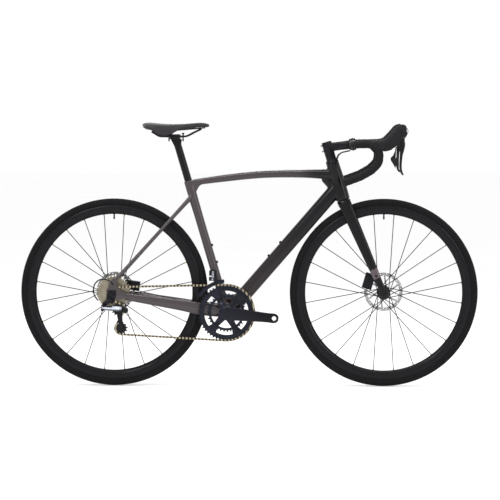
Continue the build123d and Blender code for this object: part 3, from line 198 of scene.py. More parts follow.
def lathe(name, prof, x, z=0.34, seg=240, closed=True, wobble=None):
    """Ring about the line along Y through (x, z). prof: (radius, y) in mm."""
    rows = len(prof)
    verts, uvs = [], []
    for k in range(seg):
        t = 2 * math.pi * k / seg
        for j, (r, y) in enumerate(prof):
            if wobble:
                r, y = wobble(k, j, r, y)
            verts.append(Vector((x + r * MM * math.cos(t), y * MM, z + r * MM * math.sin(t))))
            uvs.append((k / seg, j / rows))
    faces = grid_faces(seg, rows, True, closed)
    return fix_normals(new_obj(name, verts, faces, True, uvs))


def cylinder(name, p0, p1, r, cols=24, r1=None, bevel=0.0):
    p0, p1 = Vector(p0) * MM, Vector(p1) * MM
    r1 = r if r1 is None else r1
    L = (p1 - p0)
    b = min(bevel * MM, L.length * 0.3)
    rows = [(0, r * MM - b), (b / L.length if L.length else 0, r * MM), (1 - (b / L.length if L.length else 0), r1 * MM), (1, r1 * MM - b)] if b else [(0, r * MM), (1, r1 * MM)]
    pts = [p0 + L * t for t, _ in rows]
    side = (0, 1, 0) if abs(L.normalized().y) < 0.9 else (1, 0, 0)
    d = L.normalized()
    sd = Vector(side)
    sd = (sd - d * sd.dot(d)).normalized()
    up = d.cross(sd)
    verts = []
    for (t, rr), p in zip(rows, pts):
        for j in range(cols):
            a = 2 * math.pi * j / cols
            verts.append(p + sd * (rr * math.cos(a)) + up * (rr * math.sin(a)))
    faces = grid_faces(len(rows), cols)
    faces.append(tuple(reversed(range(cols))))
    faces.append(tuple(range((len(rows) - 1) * cols, len(rows) * cols)))
    return fix_normals(new_obj(name, verts, faces, False))


def join(name, objs):
    verts, faces, sm = [], [], []
    for o in objs:
        base = len(verts)
        verts += [v.co.copy() for v in o.data.vertices]
        for p in o.data.polygons:
            faces.append(tuple(base + k for k in p.vertices))
            sm.append(p.use_smooth)
    me = bpy.data.meshes.new(name)
    me.from_pydata(verts, [], faces)
    me.polygons.foreach_set("use_smooth", sm)
    me.update()
    for o in objs:
        d = o.data
        bpy.data.objects.remove(o)
        bpy.data.meshes.remove(d)
    r = bpy.data.objects.new(name, me)
    S.collection.objects.link(r)
    return r


def auto_smooth(o, deg=40):
    """Shades smooth except over sharp edges."""
    me = o.data
    me.polygons.foreach_set("use_smooth", [True] * len(me.polygons))
    bm = bmesh.new()
    bm.from_mesh(me)
    lim = math.radians(deg)
    for e in bm.edges:
        e.smooth = not (len(e.link_faces) == 2 and e.calc_face_angle(0) > lim)
    bm.to_mesh(me)
    bm.free()
    return o


def remesh(o, size, smooth=6, factor=0.5):
    m = o.modifiers.new("r", "REMESH")
    m.mode = "VOXEL"
    m.voxel_size = size
    m.use_smooth_shade = True
    if smooth:
        m = o.modifiers.new("s", "SMOOTH")
        m.iterations = smooth
        m.factor = factor
    return bake(o)


def bore(o, p0, p1, r, cols=48):
    c = cylinder("tool", p0, p1, r, cols)
    m = o.modifiers.new("b", "BOOLEAN")
    m.operation = "DIFFERENCE"
    m.solver = "EXACT"
    m.object = c
    bake(o)
    d = c.data
    bpy.data.objects.remove(c)
    bpy.data.meshes.remove(d)
    return o


# ------------------------------------------------------------------ materials


def base_mat(name):
    m = bpy.data.materials.new(name)
    m.use_nodes = True
    nt = m.node_tree
    b = nt.nodes["Principled BSDF"]
    co = nt.nodes.new("ShaderNodeTexCoord")
    return m, nt, b, co


def noise_node(nt, co, scale, detail=4, rough=0.5, out="Object", stretch=None):
    n = nt.nodes.new("ShaderNodeTexNoise")
    n.inputs["Scale"].default_value = scale
    n.inputs["Detail"].default_value = detail
    n.inputs["Roughness"].default_value = rough
    if stretch:
        mp = nt.nodes.new("ShaderNodeMapping")
        mp.inputs["Scale"].default_value = stretch
        nt.links.new(co.outputs[out], mp.inputs["Vector"])
        nt.links.new(mp.outputs[0], n.inputs["Vector"])
    else:
        nt.links.new(co.outputs[out], n.inputs["Vector"])
    return n


def ramp(nt, src, stops):
    r = nt.nodes.new("ShaderNodeValToRGB")
    while len(r.color_ramp.elements) < len(stops):
        r.color_ramp.elements.new(0.5)
    for e, (p, c) in zip(r.color_ramp.elements, stops):
        e.position = p
        e.color = (*c, 1) if len(c) == 3 else c
    nt.links.new(src, r.inputs[0])
    return r


def add_bump(nt, b, src, strength, dist=0.001, prev=None):
    u = nt.nodes.new("ShaderNodeBump")
    u.inputs["Strength"].default_value = strength
    u.inputs["Distance"].default_value = dist
    nt.links.new(src, u.inputs["Height"])
    if prev:
        nt.links.new(prev.outputs[0], u.inputs["Normal"])
    nt.links.new(u.outputs[0], b.inputs["Normal"])
    return u


def rough_range(nt, b, src, lo, hi):
    r = nt.nodes.new("ShaderNodeMapRange")
    r.inputs["To Min"].default_value = lo
    r.inputs["To Max"].default_value = hi
    nt.links.new(src, r.inputs["Value"])
    nt.links.new(r.outputs[0], b.inputs["Roughness"])


def general(name, dark, light, rough, metal=0.0, scale=60, bump=0.1, fine=900, coat=0.0, stretch=None, spec=0.5, sheen=0.0):
    """Cloudy colour variation, fine grain bump and uneven gloss."""
    m, nt, b, co = base_mat(name)
    n1 = noise_node(nt, co, scale, 5, 0.6, stretch=stretch)
    r = ramp(nt, n1.outputs["Fac"], [(0.3, dark), (0.7, light)])
    nt.links.new(r.outputs[0], b.inputs["Base Color"])
    n2 = noise_node(nt, co, fine, 3, 0.6, stretch=stretch)
    add_bump(nt, b, n2.outputs["Fac"], bump, 0.0004)
    rough_range(nt, b, n1.outputs["Fac"], rough[0], rough[1])
    b.inputs["Metallic"].default_value = metal
    b.inputs["Coat Weight"].default_value = coat
    b.inputs["Coat Roughness"].default_value = 0.12
    b.inputs["Specular IOR Level"].default_value = spec
    if sheen:
        b.inputs["Sheen Weight"].default_value = sheen
        b.inputs["Sheen Roughness"].default_value = 0.5
    return m


def set_mat(o, m):
    o.data.materials.clear()
    o.data.materials.append(m)
    return o

# ------------------------------------------------------------------ the object's materials
M_TYRE = None


def tyre_material():
    m, nt, b, co = base_mat("tyre_rubber")
    n = noise_node(nt, co, 90, 5, 0.65)
    r = ramp(nt, n.outputs["Fac"], [(0.25, (0.0075, 0.0075, 0.008)), (0.75, (0.019, 0.019, 0.019))])
    nt.links.new(r.outputs[0], b.inputs["Base Color"])
    mp = nt.nodes.new("ShaderNodeMapping")
    mp.inputs["Scale"].default_value = (640, 34, 1)
    mp.inputs["Rotation"].default_value = (0, 0, 0)
    uv = nt.nodes.new("ShaderNodeUVMap")
    uv.uv_map = "uv"
    nt.links.new(uv.outputs[0], mp.inputs["Vector"])
    v = nt.nodes.new("ShaderNodeTexChecker")
    v.inputs["Scale"].default_value = 1.0
    nt.links.new(mp.outputs[0], v.inputs["Vector"])
    u1 = nt.nodes.new("ShaderNodeBump")
    u1.inputs["Strength"].default_value = 0.22
    u1.inputs["Distance"].default_value = 0.0005
    nt.links.new(v.outputs["Fac"], u1.inputs["Height"])
    n2 = noise_node(nt, co, 1500, 2)
    add_bump(nt, b, n2.outputs["Fac"], 0.25, 0.0003, u1)
    rough_range(nt, b, n.outputs["Fac"], 0.62, 0.85)
    b.inputs["Specular IOR Level"].default_value = 0.35
    return m


def paint(name, zones, rough=(0.15, 0.24), metal=0.45, coat=0.5, axis_vec=(1, 0, 0), flake=True):
    """Metallic paint whose colour follows the position along axis_vec; zones are (position in m, colour)."""
    m, nt, b, co = base_mat(name)
    dot = nt.nodes.new("ShaderNodeVectorMath")
    dot.operation = "DOT_PRODUCT"
    dot.inputs[1].default_value = axis_vec
    nt.links.new(co.outputs["Object"], dot.inputs[0])
    cloud = noise_node(nt, co, 9, 4, 0.55)
    add = nt.nodes.new("ShaderNodeMath")
    add.operation = "MULTIPLY_ADD"
    add.inputs[1].default_value = 0.035
    nt.links.new(cloud.outputs["Fac"], add.inputs[0])
    nt.links.new(dot.outputs["Value"], add.inputs[2])
    lo, hi = zones[0][0], zones[-1][0]
    mr = nt.nodes.new("ShaderNodeMapRange")
    mr.inputs["From Min"].default_value = lo
    mr.inputs["From Max"].default_value = hi
    nt.links.new(add.outputs[0], mr.inputs["Value"])
    r = ramp(nt, mr.outputs[0], [((p - lo) / (hi - lo), c) for p, c in zones])
    fl = noise_node(nt, co, 2600, 2, 0.7)
    fr = ramp(nt, fl.outputs["Fac"], [(0.35, (0.86, 0.86, 0.86)), (0.68, (1.22, 1.2, 1.18))])
    mx = nt.nodes.new("ShaderNodeMix")
    mx.data_type = "RGBA"
    mx.blend_type = "MULTIPLY"
    mx.inputs["Factor"].default_value = 1.0 if flake else 0.4
    nt.links.new(r.outputs[0], mx.inputs[6])
    nt.links.new(fr.outputs[0], mx.inputs[7])
    nt.links.new(mx.outputs[2], b.inputs["Base Color"])
    n2 = noise_node(nt, co, 420, 3)
    add_bump(nt, b, n2.outputs["Fac"], 0.02, 0.0003)
    rough_range(nt, b, cloud.outputs["Fac"], rough[0], rough[1])
    b.inputs["Metallic"].default_value = metal
    b.inputs["Coat Weight"].default_value = coat
    b.inputs["Coat Roughness"].default_value = 0.08
    return m


def radial_metal(name, dark, light, rough, cx, cz, rings=2600, strength=0.12, metal=1.0, coat=0.0, arcs=False):
    """Turned or ground metal: fine circles round the line along Y through (cx, cz)."""
    m, nt, b, co = base_mat(name)
    sub = nt.nodes.new("ShaderNodeVectorMath")
    sub.operation = "MULTIPLY_ADD"
    sub.inputs[1].default_value = (1, 0, 1)
    sub.inputs[2].default_value = (-cx, 0, -cz)
    nt.links.new(co.outputs["Object"], sub.inputs[0])
    ln = nt.nodes.new("ShaderNodeVectorMath")
    ln.operation = "LENGTH"
    nt.links.new(sub.outputs[0], ln.inputs[0])
    mul = nt.nodes.new("ShaderNodeMath")
    mul.operation = "MULTIPLY"
    mul.inputs[1].default_value = rings
    nt.links.new(ln.outputs["Value"], mul.inputs[0])
    cmb = nt.nodes.new("ShaderNodeCombineXYZ")
    nt.links.new(mul.outputs[0], cmb.inputs[0])
    nz = nt.nodes.new("ShaderNodeTexNoise")
    nz.inputs["Scale"].default_value = 1.0
    nz.inputs["Detail"].default_value = 3
    nt.links.new(cmb.outputs[0], nz.inputs["Vector"])
    cloud = noise_node(nt, co, 70, 4)
    mixf = nt.nodes.new("ShaderNodeMath")
    mixf.operation = "MULTIPLY_ADD"
    mixf.inputs[1].default_value = 0.45
    nt.links.new(cloud.outputs["Fac"], mixf.inputs[0])
    hf = nt.nodes.new("ShaderNodeMath")
    hf.operation = "MULTIPLY"
    hf.inputs[1].default_value = 0.55
    nt.links.new(nz.outputs["Fac"], hf.inputs[0])
    nt.links.new(hf.outputs[0], mixf.inputs[2])
    r = ramp(nt, mixf.outputs[0], [(0.32, dark), (0.68, light)])
    nt.links.new(r.outputs[0], b.inputs["Base Color"])
    add_bump(nt, b, nz.outputs["Fac"], strength, 0.0003)
    rough_range(nt, b, mixf.outputs[0], rough[0], rough[1])
    b.inputs["Metallic"].default_value = metal
    b.inputs["Coat Weight"].default_value = coat
    return m


GR = (0.100, 0.090, 0.088)
GR2 = (0.082, 0.074, 0.073)
BK = (0.0085, 0.0088, 0.0100)
BR = (0.052, 0.045, 0.042)
m_frame = paint("frame_paint", [(-0.5, GR), (-0.05, GR2), (0.0, GR2), (0.19, (0.066, 0.061, 0.061)), (0.262, BK), (0.40, BK)], axis_vec=(1, 0, 0))
m_down = paint("down_tube_paint", [(0.30, BR), (0.42, (0.038, 0.034, 0.033)), (0.56, (0.016, 0.0155, 0.016)), (0.72, BK)], axis_vec=(0, 0, 1))
m_fork = paint("fork_paint", [(0.30, (0.012, 0.0118, 0.0125)), (0.55, (0.011, 0.0112, 0.0125)), (0.70, (0.0085, 0.0088, 0.01))], axis_vec=(0, 0, 1), metal=0.3)
m_band = paint("fork_band_paint", [(0.35, (0.115, 0.095, 0.098)), (0.45, (0.13, 0.108, 0.112))], axis_vec=(0, 0, 1))
m_alloy = general("black_anodised", (0.012, 0.012, 0.0135), (0.024, 0.024, 0.026), (0.28, 0.42), 0.75, 70, 0.08, 1500, 0.1)
m_steel = general("bright_steel", (0.42, 0.41, 0.39), (0.68, 0.66, 0.63), (0.18, 0.34), 1.0, 120, 0.06, 2200, stretch=(1, 1, 6))
m_spoke = general("spoke_steel", (0.05, 0.05, 0.053), (0.13, 0.13, 0.135), (0.22, 0.34), 0.95, 40, 0.03, 1800)
m_brass = general("anodised_nipples", (0.42, 0.27, 0.08), (0.70, 0.48, 0.17), (0.22, 0.36), 1.0, 200, 0.05, 2000)
m_chain = general("chain_plating", (0.34, 0.29, 0.20), (0.66, 0.58, 0.42), (0.22, 0.38), 1.0, 150, 0.12, 2500)
m_cass = radial_metal("cassette_plating", (0.26, 0.225, 0.165), (0.60, 0.54, 0.42), (0.24, 0.40), -0.4886, 0.34)
m_rotor_f = radial_metal("rotor_steel_front", (0.26, 0.26, 0.265), (0.62, 0.62, 0.62), (0.2, 0.36), 0.4886, 0.34)
m_rotor_r = radial_metal("rotor_steel_rear", (0.26, 0.26, 0.265), (0.62, 0.62, 0.62), (0.2, 0.36), -0.4886, 0.34)
m_ring = radial_metal("chainring_anodised", (0.012, 0.014, 0.024), (0.045, 0.052, 0.085), (0.22, 0.36), -0.079, 0.269, 1800, 0.1, 0.9, 0.25)
m_crank = paint("crank_anodised", [(-0.10, (0.020, 0.022, 0.032)), (0.0, (0.014, 0.015, 0.020)), (0.11, (0.008, 0.008, 0.0095))], axis_vec=(1, 0, 0), metal=0.75, coat=0.3, rough=(0.2, 0.3), flake=False)
m_rim = radial_metal("rim_anodised_f", (0.0075, 0.0075, 0.008), (0.016, 0.016, 0.017), (0.34, 0.50), 0.4886, 0.34, 900, 0.05, 0.55, 0.1)
m_rim_r = radial_metal("rim_anodised_r", (0.0075, 0.0075, 0.008), (0.016, 0.016, 0.017), (0.34, 0.50), -0.4886, 0.34, 900, 0.05, 0.55, 0.1)
m_rd = general("derailleur_silver", (0.20, 0.22, 0.27), (0.46, 0.48, 0.54), (0.2, 0.34), 0.95, 60, 0.05, 1800, 0.2)
m_plastic = general("moulded_plastic", (0.010, 0.010, 0.0105), (0.020, 0.020, 0.021), (0.42, 0.6), 0.0, 160, 0.18, 1600)
m_hood = general("hood_rubber", (0.009, 0.009, 0.0095), (0.019, 0.019, 0.0195), (0.55, 0.74), 0.0, 120, 0.35, 1300, spec=0.4)
m_sheath = general("cable_sheath", (0.007, 0.007, 0.0075), (0.015, 0.015, 0.0155), (0.3, 0.42), 0.0, 200, 0.05, 1500)
m_saddle = general("saddle_cover_fabric", (0.014, 0.012, 0.014), (0.034, 0.030, 0.034), (0.5, 0.68), 0.0, 55, 0.5, 1700, sheen=0.25)
m_badge = general("pale_badge", (0.42, 0.42, 0.43), (0.62, 0.62, 0.64), (0.2, 0.3), 0.9, 90, 0.04, 1500)


def tape_material():
    m, nt, b, co = base_mat("bar_tape_wrap")
    vo = nt.nodes.new("ShaderNodeTexVoronoi")
    vo.inputs["Scale"].default_value = 620
    nt.links.new(co.outputs["Object"], vo.inputs["Vector"])
    n = noise_node(nt, co, 130, 4)
    r = ramp(nt, n.outputs["Fac"], [(0.3, (0.008, 0.008, 0.0085)), (0.7, (0.019, 0.019, 0.0195))])
    nt.links.new(r.outputs[0], b.inputs["Base Color"])
    add_bump(nt, b, vo.outputs["Distance"], 0.35, 0.0005)
    rough_range(nt, b, n.outputs["Fac"], 0.6, 0.8)
    b.inputs["Specular IOR Level"].default_value = 0.4
    return m


m_tape = tape_material()
m_tyre = tyre_material()


def tone(m, k=1.0, spec=None, coat=None, tint=(1.01, 0.95, 1.05)):
    """Deeper colour and a calmer gloss."""
    b = next(n for n in m.node_tree.nodes if n.type == "BSDF_PRINCIPLED")
    src = b.inputs["Base Color"].links[0].from_node
    if src.type == "MIX":
        src = src.inputs[6].links[0].from_node
    if src.type == "VALTORGB":
        for e in src.color_ramp.elements:
            c = e.color
            e.color = (c[0] * k * tint[0], c[1] * k * tint[1], c[2] * k * tint[2], 1)
    if spec is not None:
        b.inputs["Specular IOR Level"].default_value = spec
    if coat is not None:
        b.inputs["Coat Weight"].default_value = coat


tone(m_tyre, 0.5, 0.10)
tone(m_tape, 0.6, 0.14)
tone(m_hood, 0.7, 0.16)
tone(m_saddle, 0.5, 0.14)
tone(m_plastic, 0.6, 0.18)
tone(m_rotor_f, 0.8, 0.3, tint=(1, 1, 1))
tone(m_rotor_r, 0.8, 0.3, tint=(1, 1, 1))
tone(m_sheath, 0.6, 0.2)
tone(m_frame, 0.66, 0.10, 0.40)
tone(m_down, 0.62, 0.08, 0.30)
tone(m_fork, 0.5, 0.06, 0.30)
tone(m_band, 0.8, 0.2, 0.15)
tone(m_alloy, 0.8, 0.2, 0.05)
tone(m_rim, 0.7, 0.10, 0.15)
tone(m_rim_r, 0.7, 0.10, 0.15)
tone(m_crank, 0.8, 0.2, 0.12)
tone(m_ring, 0.5, 0.2, 0.15, (1, 1, 0.9))
tone(m_spoke, 0.11, 0.12)
next(n for n in m_spoke.node_tree.nodes if n.type == "BSDF_PRINCIPLED").inputs["Metallic"].default_value = 0.3
tone(m_brass, 0.22, 0.2, tint=(1, 1, 1))
tone(m_chain, 0.62, 0.3, tint=(1, 1, 1))
# painted shade: near-black bands, one in each 12.7 mm link pitch, darken the chain where the gaps between the link
# plates lie in shade
nt = m_chain.node_tree
bs = next(n for n in nt.nodes if n.type == "BSDF_PRINCIPLED")
col = bs.inputs["Base Color"].links[0].from_socket
wv = nt.nodes.new("ShaderNodeTexWave")
wv.wave_type, wv.bands_direction = "BANDS", "X"
wv.inputs["Scale"].default_value = 24.7
tcn = nt.nodes.new("ShaderNodeTexCoord")
nt.links.new(tcn.outputs["Object"], wv.inputs["Vector"])
rr = ramp(nt, wv.outputs["Fac"], [(0.38, (0.10, 0.10, 0.10)), (0.5, (1.25, 1.25, 1.25))])
mxn = nt.nodes.new("ShaderNodeMix")
mxn.data_type, mxn.blend_type = "RGBA", "MULTIPLY"
mxn.inputs["Factor"].default_value = 1.0
nt.links.new(col, mxn.inputs[6])
nt.links.new(rr.outputs[0], mxn.inputs[7])
nt.links.new(mxn.outputs[2], bs.inputs["Base Color"])
tone(m_cass, 0.72, 0.3, tint=(1, 1, 1))
tone(m_rd, 0.5, 0.3, tint=(1, 1, 1))

ASSIGN = {
    "top_tube": m_frame, "seat_tube": m_frame, "rear_stays": m_frame, "bottom_bracket_shell": m_frame, "head_tube": m_frame, "down_tube": m_down,
    "fork": m_fork, "seatpost": m_fork, "stem": m_alloy, "stem_faceplate": m_alloy, "handlebar": m_alloy, "headset_spacers": m_alloy,
    "saddle_clamp": m_alloy, "front_brake_caliper": m_alloy, "rear_brake_caliper": m_alloy, "front_hub": m_alloy, "rear_hub": m_alloy,
    "front_thru_axle": m_alloy, "rear_thru_axle": m_alloy, "derailleur_hanger": m_alloy, "bottle_bolts": m_alloy, "crank_arm_left": m_crank,
    "crankset_right": m_crank, "left_lever_pivot": m_alloy, "right_lever_pivot": m_alloy, "left_brake_lever": m_alloy, "right_brake_lever": m_alloy,
    "front_derailleur_link": m_rd, "front_derailleur_body": m_alloy, "rear_derailleur_p_knuckle": m_alloy, "rear_derailleur_b_knuckle": m_alloy,
    "front_rim": m_rim, "rear_rim": m_rim_r, "large_chainring": m_ring, "small_chainring": m_ring, "chainring_bolts": m_alloy,
    "front_brake_rotor": m_rotor_f, "rear_brake_rotor": m_rotor_r, "front_derailleur_cage": m_ring, "saddle_rails": m_alloy,
    "front_spokes": m_spoke, "rear_spokes": m_spoke, "cassette": m_cass, "chain": m_chain, "rear_derailleur_link": m_rd, "derailleur_cage": m_alloy,
    "front_tyre": m_plastic, "rear_tyre": m_plastic, "brake_hoods": m_hood, "bar_tape": m_tape, "left_shift_paddle": m_plastic, "right_shift_paddle": m_plastic,
    "guide_pulley": m_plastic, "tension_pulley": m_plastic, "saddle_shell": m_plastic, "saddle_cover": m_saddle, "frame_bearings": m_alloy,
    "freehub_body": m_steel, "rear_shift_housing": m_sheath, "control_cables": m_sheath,
}
for k, o in N.items():
    set_mat(o, ASSIGN[k])


def piece(o, body, m, *nodes, slot=None):
    set_mat(o, m)
    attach(o, body)
    if nodes:
        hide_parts(*nodes)
    return o

# ------------------------------------------------------------------ frame: one moulded carbon shell
HS = 0.2981
HD = Vector((-HS, 0, 1)).normalized()
SD = Vector((-math.sin(math.radians(16.4)), 0, math.cos(math.radians(16.4))))
BBp = Vector((-79.0, 0, 269.0))
DTD = Vector((0.655, 0, 0.756)).normalized()
DTM = Vector((114.7, 0, 482.0))


def hp(z):
    return Vector((442.3 - (z - 340) * HS, 0, z))


STC = [(-480, 336, 67, 5.8, 10), (-438, 327.5, 66, 6.4, 13), (-400, 321, 62, 6.8, 14.5), (-340, 311, 53, 7.6, 16.5), (-243.9, 295.1, 40.5, 9, 20), (-178.5, 283.1, 30.5, 9.5, 23.3), (-128, 276, 24.5, 10, 23), (-95, 272, 20, 10, 21)]
STS = [(-485.5, 382, 68.3, 5.4, 6.6), (-440, 431, 60.5, 5.6, 6.5), (-360, 519, 46, 5.8, 6.5), (-290, 596, 33, 6.1, 6.7), (-240, 651, 23, 6.8, 7.6), (-207, 687, 15, 7.6, 8.6)]
TTL = [(-206, 737, 15, 11.6), (-150, 745.5, 15, 12.4), (-80, 754.5, 15.5, 13.3), (-10, 762.5, 16, 13.6), (60, 768, 17, 13.8), (140, 770, 19, 14.3), (220, 770, 21, 16), (296, 768, 21.5, 20)]


def frame_mesh():
    p = []
    p.append(oval_tube("t", [((x, 0, z), a, b) for x, z, a, b in TTL], power=2.4))
    p.append(oval_tube("t", [(DTM + DTD * t, a, b) for t, a, b in [(-286, 29, 25.5), (-200, 26, 26.2), (-60, 24, 26.2), (120, 23, 26.2), (250, 23, 26.2), (312, 21.5, 26.5)]], power=2.6))
    L = (744.5 - 269) / SD.z
    p.append(oval_tube("t", [(BBp + SD * t, a, b) for t, a, b in [(8, 25, 17), (70, 18, 15.8), (200, 16, 15.8), (350, 15.8, 15.8), (440, 16.6, 16.8), (L - 0.5, 16.8, 16.8)]]))
    hb, ht = hp(675.6), hp(808.8)
    hl = (ht - hb).length
    p.append(oval_tube("t", [(hb + HD * t, a, b) for t, a, b in [(0, 25.6, 24.8), (45, 24.3, 25.7), (95, 23.8, 24.8), (hl, 23.3, 23.3)]]))
    for s in (1, -1):
        p.append(oval_tube("t", [((x, s * y, z), a, b) for x, z, y, a, b in STC], power=2.2))
        p.append(oval_tube("t", [((x, s * y, z), a, b) for x, z, y, a, b in STS], power=2.2))
    p.append(cylinder("t", (-79, -43, 269), (-79, 43, 269), 26.3, 64, bevel=1.5))
    # blended webs at the head, the seat cluster and the bottom bracket
    p.append(oval_tube("t", [((268, 0, 752), 13, 9), ((290, 0, 735), 15, 14), ((306, 0, 715), 15, 12), ((312, 0, 690), 13, 8)]))
    p.append(oval_tube("t", [((-214, 0, 690), 9, 7), ((-200, 0, 712), 11, 12), ((-184, 0, 733), 11, 10), ((-160, 0, 741), 10, 6)]))
    p.append(oval_tube("t", [((-104, 0, 330), 13, 8), ((-62, 0, 318), 18, 15), ((-40, 0, 330), 14, 8)]))
    o = join("carbon_frame", p)
    return o


frame_o = frame_mesh()
remesh(frame_o, 0.0019, 9, 0.6)
# dropout plates, cut crisp after the tubes are blended
drop = [(-507, 326), (-508, 352), (-501, 374), (-492, 390), (-484, 395), (-475, 391), (-472.5, 372), (-467, 356), (-452, 344), (-440, 338.5), (-440, 318.5), (-462, 317.6), (-484, 318), (-500, 320)]


def plate(name, outline, y0, y1, bevel=0.6):
    bm = bmesh.new()
    vs = [bm.verts.new((x * MM, y0 * MM, z * MM)) for x, z in outline]
    f = bm.faces.new(vs)
    r = bmesh.ops.extrude_face_region(bm, geom=[f])
    for v in r["geom"]:
        if isinstance(v, bmesh.types.BMVert):
            v.co.y = y1 * MM
    bmesh.ops.recalc_face_normals(bm, faces=bm.faces)
    me = bpy.data.meshes.new(name)
    bm.to_mesh(me)
    bm.free()
    o = bpy.data.objects.new(name, me)
    S.collection.objects.link(o)
    if bevel:
        m = o.modifiers.new("b", "BEVEL")
        m.width = bevel * MM
        m.segments = 3
        m.limit_method = "ANGLE"
        bake(o)
        auto_smooth(o)
    return o


bore(frame_o, BBp + SD * 60, BBp + SD * 520, 13.75)
bore(frame_o, (-79, -60, 269), (-79, 60, 269), 20.5, 64)
bore(frame_o, hp(660), hp(830), 21.0, 64)
for s in (1, -1):
    bore(frame_o, (-488.6, s * 50, 340), (-488.6, s * 71.0, 340), 33.0, 64)
bore(frame_o, (-488.6, -19, 340), (-488.6, 19, 340), 346.5, 256)
frame_o.data.polygons.foreach_set("use_smooth", [True] * len(frame_o.data.polygons))
auto_smooth(frame_o, 50)
drops = []
for s in (1, -1):
    d = plate("drop", drop, *((71.05, 77.0) if s > 0 else (-77.0, -71.05)))
    bore(d, (-488.6, s * 60, 340), (-488.6, s * 90, 340), 6.05, 40)
    auto_smooth(d, 40)
    drops.append(d)
piece(frame_o, "frame", m_frame, "top_tube", "down_tube", "seat_tube", "head_tube", "bottom_bracket_shell", "rear_stays", slot="carbon_graphite")
# the down tube is darker: its faces get the second paint
frame_o.data.materials.append(m_down)
up = Vector((-0.756, 0, 0.655))
idx = [0] * len(frame_o.data.polygons)
for p in frame_o.data.polygons:
    c = p.center / MM - DTM
    along, off = c.dot(DTD), c.dot(up)
    if abs(off) < 29.5 and -262 < along < 325:
        idx[p.index] = 1
frame_o.data.polygons.foreach_set("material_index", idx)
dr = join("dropouts", drops)
auto_smooth(dr, 40)
piece(dr, "frame", m_frame, slot="carbon_graphite")
bosses = []
for c, d, k in [(DTM + DTD * 30, up, 27.0), (DTM - DTD * 34, up, 27.0), (BBp + SD * 184, Vector((SD.z, 0, -SD.x)), 17.0), (BBp + SD * 248, Vector((SD.z, 0, -SD.x)), 17.0)]:
    bosses.append(cylinder("boss", c + d * (k - 3), c + d * (k + 0.5), 5.2, 32, bevel=0.3))
bo = join("bottle_boss_rings", bosses)
auto_smooth(bo)
piece(bo, "frame", m_alloy, slot="black_alloy")

# ------------------------------------------------------------------ fork


def leg(z, y):
    k = max(0.0, (675.2 - z) / 335.2)
    return Vector((hp(z).x + 44.4 * 1.0435 * k, y, z))


LG = [(668, 25, 12, 23.5), (640, 31, 10.3, 22.6), (580, 38, 8.3, 20.7), (500, 46, 7.3, 18.2), (427, 52, 6.8, 15.2), (375, 55.2, 5.4, 12.7), (345, 55.6, 5.2, 12.6)]
fp = []
for s in (1, -1):
    fp.append(oval_tube("t", [(leg(z, s * y), a, b) for z, y, a, b in LG], power=2.3, per=10))
    fp.append(cylinder("t", (488.6, s * 50.4, 340), (488.6, s * 60.3, 340), 16.8, 48, bevel=1.2))
cb = hp(674.6)
fp.append(oval_tube("t", [(cb - HD * 24, 36, 22), (cb - HD * 12, 33, 24.4), (cb - HD * 4, 28, 24.8), (cb, 25.6, 24.8)], power=2.6))
fork_o = join("carbon_fork", fp)
remesh(fork_o, 0.0018, 7, 0.6)
bore(fork_o, (488.6, -18, 340), (488.6, 18, 340), 345.5, 256)
bore(fork_o, (488.6, -49.8, 340), (488.6, 49.8, 340), 23.0, 64)
bore(fork_o, (488.6, -70, 340), (488.6, 70, 340), 6.05, 40)
auto_smooth(fork_o, 50)
st1 = cylinder("st", hp(668), hp(704), 14.9, 64)
st2 = cylinder("st", hp(704), hp(879.5), 14.25, 64)
ste = join("steerer_tube", [st1, st2])
auto_smooth(ste)
piece(fork_o, "steering", m_fork, "fork", slot="carbon_black")
piece(ste, "steering", m_fork, slot="carbon_black")
fork_o.data.materials.append(m_band)
idx = [0] * len(fork_o.data.polygons)
for p in fork_o.data.polygons:
    c = p.center / MM
    t = (c.z - 0.45 * (c.x - 460))
    if 393 < t < 432:
        idx[p.index] = 1
fork_o.data.polygons.foreach_set("material_index", idx)
fb = []
for s in (1, -1):
    q = leg(404, s * 60.2)
    fb.append(cylinder("b", q - Vector((0, s * 3, 0)), q + Vector((0, s * 0.9, 0)), 4.2, 32, bevel=0.4))
fbo = join("fork_leg_fasteners", fb)
auto_smooth(fbo)
piece(fbo, "steering", m_alloy, slot="black_alloy")

